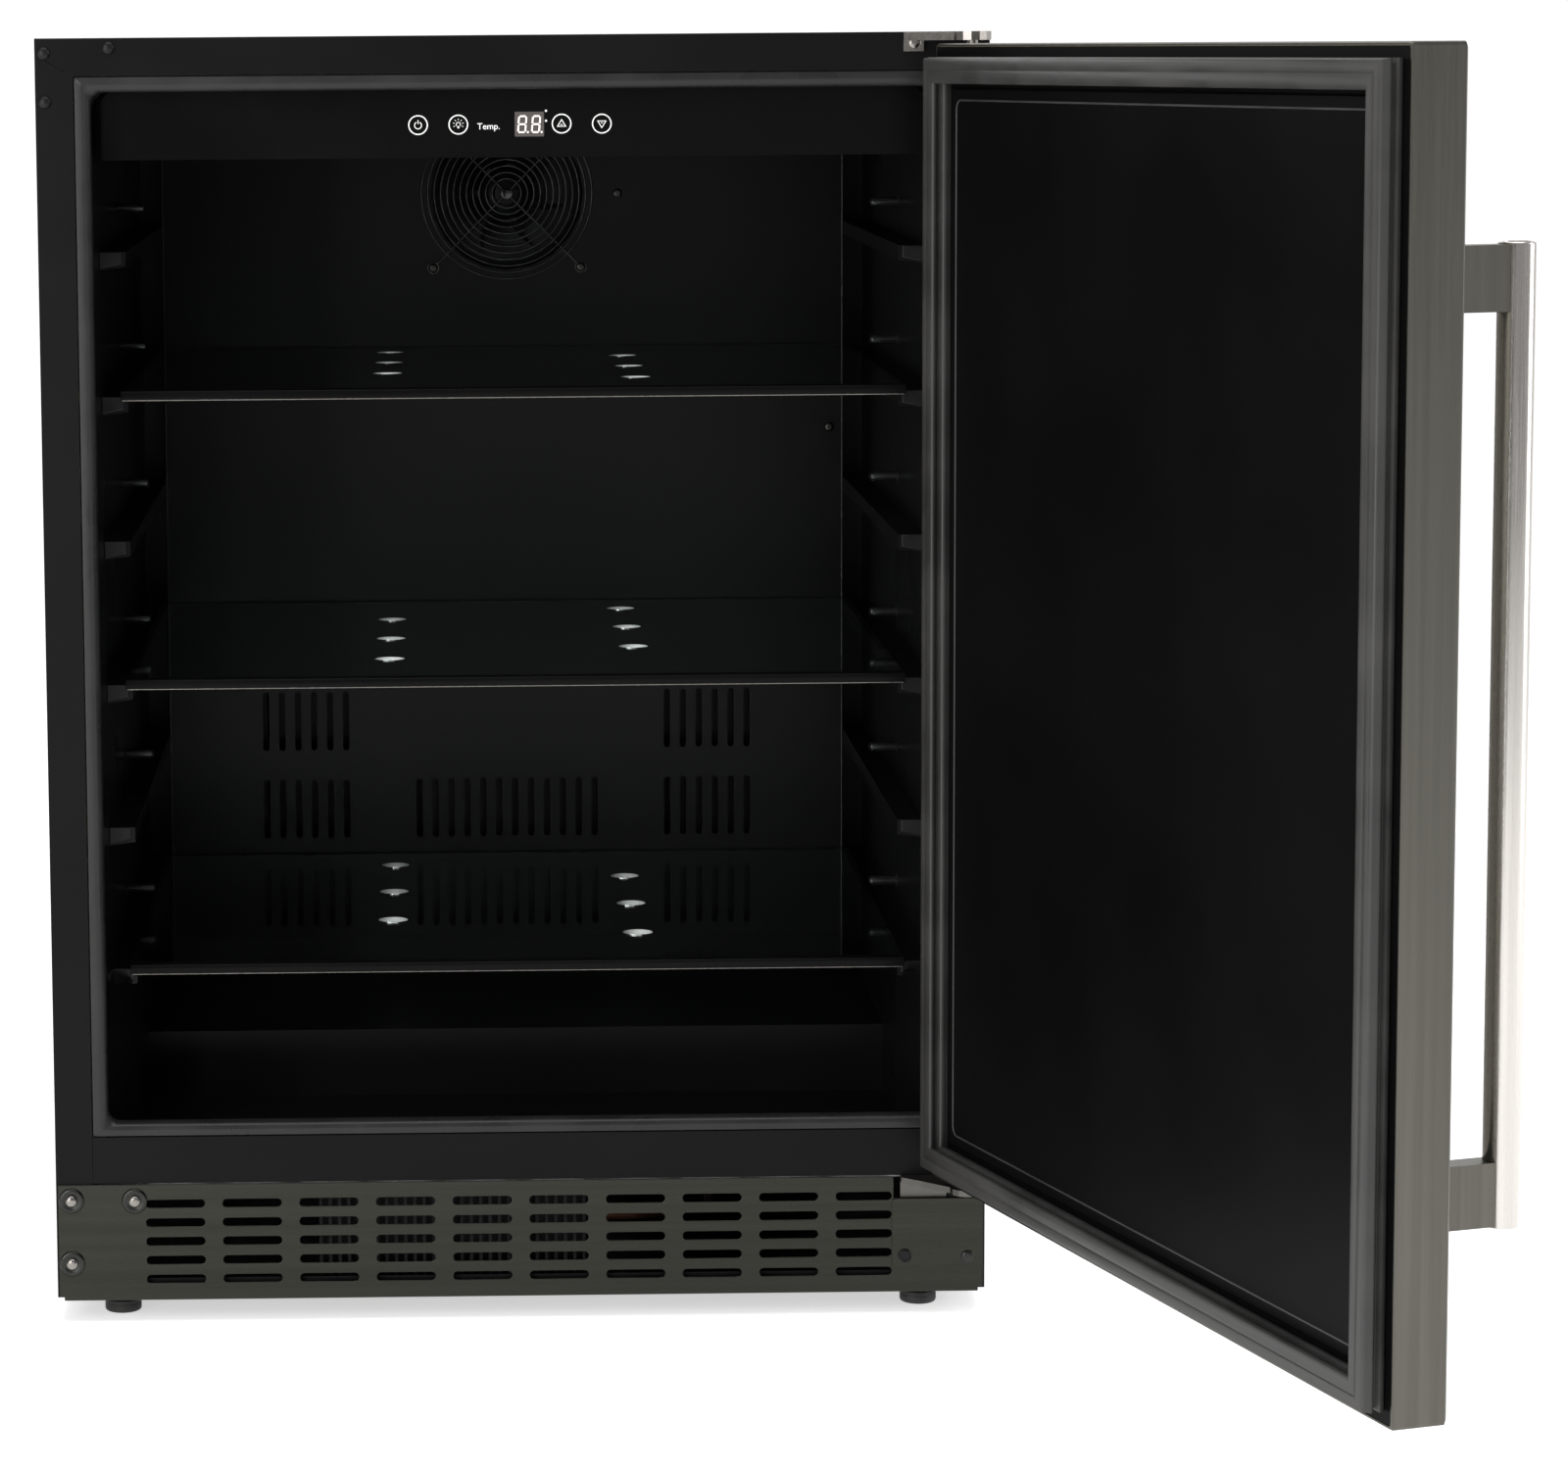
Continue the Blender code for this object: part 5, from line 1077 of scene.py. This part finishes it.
def build_gasket(finishes, sizes):
    """Seal drawn as a bellows: a flat magnet pocket on two folded flanks, mitred at the corners."""
    low, high = closed_box("door_gasket")
    base, crown = low.y, high.y
    tall = crown - base
    width = 0.0170
    outer = [(0.0010, 0.0), (0.0002, 0.08), (0.0002, 0.20), (0.0016, 0.27), (0.0026, 0.33), (0.0026, 0.38),
             (0.0012, 0.45), (0.0003, 0.52), (0.0003, 0.62), (0.0008, 0.72), (0.0008, 0.84), (0.0014, 0.93),
             (0.0030, 0.985), (0.0050, 1.0)]
    inner = [(width - 0.0034, 1.0), (width - 0.0014, 0.97), (width - 0.0006, 0.90), (width - 0.0006, 0.76),
             (width - 0.0020, 0.66), (width - 0.0030, 0.60), (width - 0.0030, 0.54), (width - 0.0012, 0.44),
             (width - 0.0004, 0.36), (width - 0.0004, 0.20), (width - 0.0012, 0.08), (width - 0.0014, 0.0)]
    groove = [(0.0072, 1.0), (0.0077, 0.965), (0.0082, 0.965), (0.0087, 1.0)]
    rows = []
    for inset, share in outer + groove + inner:
        left, right = low.x + inset, high.x - inset
        bottom, top = low.z + inset, high.z - inset
        y = base + share * tall
        rows.append([(right, y, top), (left, y, top), (left, y, bottom), (right, y, bottom)])
    bm = bmesh.new()
    add_rows(bm, rows, ring=True)
    seal = gasket_rubber(finishes)
    piece("door_seal", bm, seal, "door", DOOR, 0.0, ("door_gasket",), angle=50.0)


# --- handle ----------------------------------------------------------------------------------------------
def build_handle(finishes, sizes):
    low, high = closed_box("handle_bar")
    centre = (low + high) / 2
    radius = (high.x - low.x) / 2
    length = high.z - low.z
    edge = 0.0012
    profile = [(0.0, 0.0), (radius - edge, 0.0)]
    for angle in (0.5, 1.0, math.pi / 2):
        profile.append((radius - edge + edge * math.sin(angle), edge - edge * math.cos(angle)))
    profile += [(radius, length - edge)]
    for angle in (0.5, 1.0):
        profile.append((radius - edge + edge * math.cos(angle), length - edge + edge * math.sin(angle)))
    sunk = length - 0.0004
    profile += [(radius - edge, length), (radius - 0.0022, length), (radius - 0.0024, sunk), (0.0, sunk)]
    bm = bmesh.new()
    add_lathe(bm, profile, 72)
    place = DOOR @ Matrix.Translation((centre.x, centre.y, low.z))
    steel = handle_steel(finishes)
    piece("handle_tube", bm, steel, "door", place, 0.0, ("handle_bar",), angle=40.0)
    for word in ("upper", "lower"):
        soften(dress("handle_post_" + word, post_steel(finishes)), 0.0006, 3)


# --- hinges ----------------------------------------------------------------------------------------------
TOP_HINGE_SCREW_AT = (0.2504, -0.0028, 0.8114)
BOTTOM_HINGE_UNDER = 0.0862
BOTTOM_HINGE_OVER = 0.0904


def build_hinges(finishes, sizes):
    metal = plated()
    soften(dress("top_hinge", metal), 0.0004, 2)
    # The bottom hinge and its washer get a darker copy of the top hinge's plating: the darker colour is
    # painted shade that dims the top light's reflection in their upward faces.
    shaded_plating = simple("hinge_plating_painted_shade", (0.13, 0.125, 0.115), 0.34, 1.0)
    soften(dress("bottom_hinge", shaded_plating), 0.0004, 2)
    bm = bmesh.new()
    cross_screw(bm, 0.0040, 0.0020)
    place = CABINET @ on_front(*TOP_HINGE_SCREW_AT)
    piece("top_hinge_screw", bm, metal, "cabinet", place)
    at = HINGE_AT
    bm = bmesh.new()
    add_lathe(bm, dome(0.0046, 0.0012, 0.0004), 28)
    place = CABINET @ facing((at.x, at.y, BOTTOM_HINGE_UNDER), (0.0, 0.0, -1.0))
    piece("bottom_hinge_rivet", bm, metal, "cabinet", place)
    bm = bmesh.new()
    add_lathe(bm, [(0.0036, 0.0), (0.0085, 0.0), (0.0085, 0.0014), (0.0036, 0.0014)], 32)
    place = CABINET @ Matrix.Translation((at.x, at.y, BOTTOM_HINGE_OVER))
    piece("bottom_hinge_washer", bm, shaded_plating, "cabinet", place)


# --- kick plate ------------------------------------------------------------------------------------------
SLOT_COLUMNS, SLOT_ROWS = 10, 5
FIRST_SLOT = (-0.2401, 0.0770)                   # left end and middle height of the top left slot
SLOT_PITCH = (0.0491, 0.0123)
SLOT_LENGTH = 0.0376
SLOT_RADIUS = 0.0026
NOTCH = (0.2388, 0.0755)                         # corner cut out for the bottom hinge
NOTCH_WEB = 0.0012
CUP = (
    (0.0040, 0.0002), (0.0082, 0.0002), (0.0082, 0.0006), (0.0074, 0.0014),
    (0.0062, 0.0016), (0.0046, 0.0009), (0.0040, 0.0008),
)
COVER_PLUG = ((0.0, 0.0), (0.0043, 0.0), (0.0043, 0.0012), (0.0036, 0.0017), (0.0030, 0.0010), (0.0, 0.0006))
COVER_SCREW_AT = (0.2865, 0.0369)
COVER_PLUG_AT = (0.2461, 0.0380)
CUP_SCREWS = ((-0.2877, 0.0795), (-0.2473, 0.0790), (-0.2878, 0.0384))


def build_kick_plate(finishes, sizes):
    steel = kick_steel(finishes)
    low, high = cabinet_box("kick_grille")
    corner = 0.003
    outline = [
        (low.x, low.z + corner), (low.x + corner, low.z + corner), (low.x + corner, low.z),
        (high.x - corner, low.z), (high.x - corner, low.z + corner), (high.x, low.z + corner),
        (high.x, NOTCH[1]), NOTCH, (NOTCH[0], high.z), (low.x, high.z),
    ]
    holes = []
    for column in range(SLOT_COLUMNS):
        for row in range(SLOT_ROWS):
            left = FIRST_SLOT[0] + SLOT_PITCH[0] * column
            middle = FIRST_SLOT[1] - SLOT_PITCH[1] * row
            right = min(left + SLOT_LENGTH, NOTCH[0] - NOTCH_WEB)
            ends = arc((right - SLOT_RADIUS, middle), SLOT_RADIUS, -math.pi / 2, math.pi / 2, 8)
            ends += arc((left + SLOT_RADIUS, middle), SLOT_RADIUS, math.pi / 2, 1.5 * math.pi, 8)
            holes.append(ends)
    bm = bmesh.new()
    add_plate(bm, outline, holes, 0.0, high.y - low.y)
    place = CABINET @ on_front(0.0, high.y, 0.0)
    piece("slotted_kick_plate", bm, steel, "cabinet", place, 0.0005, ("kick_grille",))
    soften(dress("hinge_cover_plate", steel), 0.0003, 2)
    metal = dark_plated()
    front = low.y
    for number, (x, z) in enumerate(CUP_SCREWS, start=1):
        bm = bmesh.new()
        add_lathe(bm, CUP, 40)
        place = CABINET @ on_front(x, front, z)
        node = "kick_screw_%d" % number
        piece("cup_washer_%d" % number, bm, metal, "cabinet", place, replaces=(node,), angle=50.0)
        bm = bmesh.new()
        cross_screw(bm, 0.0037, 0.0030)
        place = CABINET @ on_front(x, front - 0.0003, z, 0.35 * number)
        piece("cup_screw_%d" % number, bm, plated(), "cabinet", place)
    cover_low, _ = cabinet_box("hinge_cover_plate")
    bm = bmesh.new()
    cross_screw(bm, 0.0042, 0.0016)
    place = CABINET @ on_front(COVER_SCREW_AT[0], cover_low.y - 0.0003, COVER_SCREW_AT[1], 0.3)
    piece("cover_screw", bm, metal, "cabinet", place, replaces=("hinge_cover_screw",))
    bm = bmesh.new()
    add_lathe(bm, COVER_PLUG, 32)
    place = CABINET @ on_front(COVER_PLUG_AT[0], cover_low.y - 0.0003, COVER_PLUG_AT[1])
    black = black_plastic(finishes)
    piece("cover_plug", bm, black, "cabinet", place, replaces=("hinge_cover_plug",))


# --- feet ------------------------------------------------------------------------------------------------
def build_feet(finishes, sizes):
    rubber = foot_rubber(finishes)
    for row in ("front", "back"):
        for side in ("left", "right"):
            node = "foot_%s_%s" % (row, side)
            low, high = cabinet_box(node)
            centre = (low + high) / 2
            radius = (high.x - low.x) / 2
            bm = bmesh.new()
            profile = [
                (0.0, 0.0), (radius * 0.90, 0.0), (radius * 0.97, 0.0006), (radius, 0.0018), (radius, 0.0052),
                (radius * 0.975, 0.0056), (radius * 0.975, 0.0060), (radius, 0.0064), (radius * 0.98, 0.0076),
                (radius * 0.90, 0.0080), (0.0046, 0.0080), (0.0040, 0.0086),
            ]
            turns = 12
            rise = (high.z - 0.0090) / turns
            for i in range(turns):
                level = 0.0088 + i * rise
                profile += [(0.0040, level), (0.0034, level + rise * 0.5)]
            profile.append((0.0, 0.0088 + turns * rise))
            add_lathe(bm, profile, 40)
            place = CABINET @ Matrix.Translation((centre.x, centre.y, 0.0))
            piece("levelling_" + node, bm, rubber, node, place, 0.0, (node,), angle=45.0)


# --- machine space ---------------------------------------------------------------------------------------
def build_machine_space(finishes, sizes):
    zinc = zinc_sheet()
    for node in ("machine_deck", "rear_machine_cover"):
        dress(node, zinc)
    # The base pan gets a near-black metal colour, far darker than the zinc sheet of the deck: painted shade
    # for the space under the cabinet seen through the kick plate.
    dress("base_pan", simple("base_pan_painted_shade", (0.018, 0.018, 0.019), 0.5, 1.0))
    dress("compressor", simple("black_enamel", (0.012, 0.012, 0.013), 0.25))
    dress("condenser", simple("coated_fins", (0.015, 0.015, 0.016), 0.45, 0.5))
    copper = simple("copper_tube", (0.16, 0.07, 0.045), 0.38, 1.0)
    dress("suction_line", copper)
    dress("discharge_line", copper)
    black = black_plastic(finishes)
    for node in ("compressor_relay", "condenser_shroud", "mains_inlet"):
        dress(node, black)
    dress("condenser_fan_motor", simple("motor_can", (0.10, 0.10, 0.10), 0.4, 0.6))
    dress("evaporation_tray", simple("grey_plastic", (0.20, 0.20, 0.21), 0.5))
    build_rotor("condenser_fan_rotor", "condenser_fan", "condenser_fan_wheel")


# --- operators -------------------------------------------------------------------------------------------
def run(builder, context):
    builder(context.scene.fridge_finishes, context.scene.fridge_sizes)
    return {"FINISHED"}


class FRIDGE_OT_stage(Operator):
    """Build the floor, the camera and the studio lights"""

    bl_idname = "fridge.stage"
    bl_label = "Stage"

    def execute(self, context):
        return run(build_stage, context)


class FRIDGE_OT_cabinet(Operator):
    """Paint the cabinet sheets and press in the hole plugs"""

    bl_idname = "fridge.cabinet"
    bl_label = "Cabinet"

    def execute(self, context):
        return run(build_cabinet, context)


class FRIDGE_OT_bead(Operator):
    """Roll the moulding round the opening"""

    bl_idname = "fridge.bead"
    bl_label = "Opening bead"

    def execute(self, context):
        return run(build_bead, context)


class FRIDGE_OT_liner(Operator):
    """Finish the liner and add its rib caps and stop pegs"""

    bl_idname = "fridge.liner"
    bl_label = "Liner"

    def execute(self, context):
        return run(build_liner, context)


class FRIDGE_OT_control_strip(Operator):
    """Finish the control strip with its symbols and display"""

    bl_idname = "fridge.control_strip"
    bl_label = "Control strip"

    def execute(self, context):
        return run(build_control_strip, context)


class FRIDGE_OT_air_duct(Operator):
    """Finish the duct panel with its guard, fan wheel and screws"""

    bl_idname = "fridge.air_duct"
    bl_label = "Air duct"

    def execute(self, context):
        return run(build_air_duct, context)


class FRIDGE_OT_shelves(Operator):
    """Cut the glass shelves and fit their front rails"""

    bl_idname = "fridge.shelves"
    bl_label = "Shelves"

    def execute(self, context):
        return run(build_shelves, context)


class FRIDGE_OT_door(Operator):
    """Finish the door skin and panel and fit the seal"""

    bl_idname = "fridge.door"
    bl_label = "Door"

    def execute(self, context):
        return run(build_door, context)


class FRIDGE_OT_handle(Operator):
    """Turn the handle tube and finish its posts"""

    bl_idname = "fridge.handle"
    bl_label = "Handle"

    def execute(self, context):
        return run(build_handle, context)


class FRIDGE_OT_hinges(Operator):
    """Finish both hinges"""

    bl_idname = "fridge.hinges"
    bl_label = "Hinges"

    def execute(self, context):
        return run(build_hinges, context)


class FRIDGE_OT_kick_plate(Operator):
    """Punch the kick plate and fit its screws"""

    bl_idname = "fridge.kick_plate"
    bl_label = "Kick plate"

    def execute(self, context):
        return run(build_kick_plate, context)


class FRIDGE_OT_feet(Operator):
    """Turn the levelling feet"""

    bl_idname = "fridge.feet"
    bl_label = "Feet"

    def execute(self, context):
        return run(build_feet, context)


class FRIDGE_OT_machine_space(Operator):
    """Finish the parts under the insulated box"""

    bl_idname = "fridge.machine_space"
    bl_label = "Machine space"

    def execute(self, context):
        return run(build_machine_space, context)


OPERATORS = (
    FRIDGE_OT_stage,
    FRIDGE_OT_cabinet,
    FRIDGE_OT_bead,
    FRIDGE_OT_liner,
    FRIDGE_OT_control_strip,
    FRIDGE_OT_air_duct,
    FRIDGE_OT_shelves,
    FRIDGE_OT_door,
    FRIDGE_OT_handle,
    FRIDGE_OT_hinges,
    FRIDGE_OT_kick_plate,
    FRIDGE_OT_feet,
    FRIDGE_OT_machine_space,
)


class FRIDGE_PT_panel(Panel):
    """List of the fridge's pieces"""

    bl_idname = "FRIDGE_PT_panel"
    bl_label = "Undercounter fridge"
    bl_space_type = "VIEW_3D"
    bl_region_type = "UI"
    bl_category = "Fridge"

    def draw(self, context):
        column = self.layout.column()
        for operator in OPERATORS:
            column.operator(operator.bl_idname)
        for group in (context.scene.fridge_finishes, context.scene.fridge_sizes):
            for name in group.__annotations__:
                column.prop(group, name)


CLASSES = (FridgeFinishes, FridgeSizes) + OPERATORS + (FRIDGE_PT_panel,)


def register():
    for cls in CLASSES:
        bpy.utils.register_class(cls)
    bpy.types.Scene.fridge_finishes = PointerProperty(type=FridgeFinishes)
    bpy.types.Scene.fridge_sizes = PointerProperty(type=FridgeSizes)


def unregister():
    del bpy.types.Scene.fridge_sizes
    del bpy.types.Scene.fridge_finishes
    for cls in reversed(CLASSES):
        bpy.utils.unregister_class(cls)


def main():
    register()
    for operator in OPERATORS:
        group, name = operator.bl_idname.split(".")
        getattr(getattr(bpy.ops, group), name)()


if __name__ == "__main__":
    main()
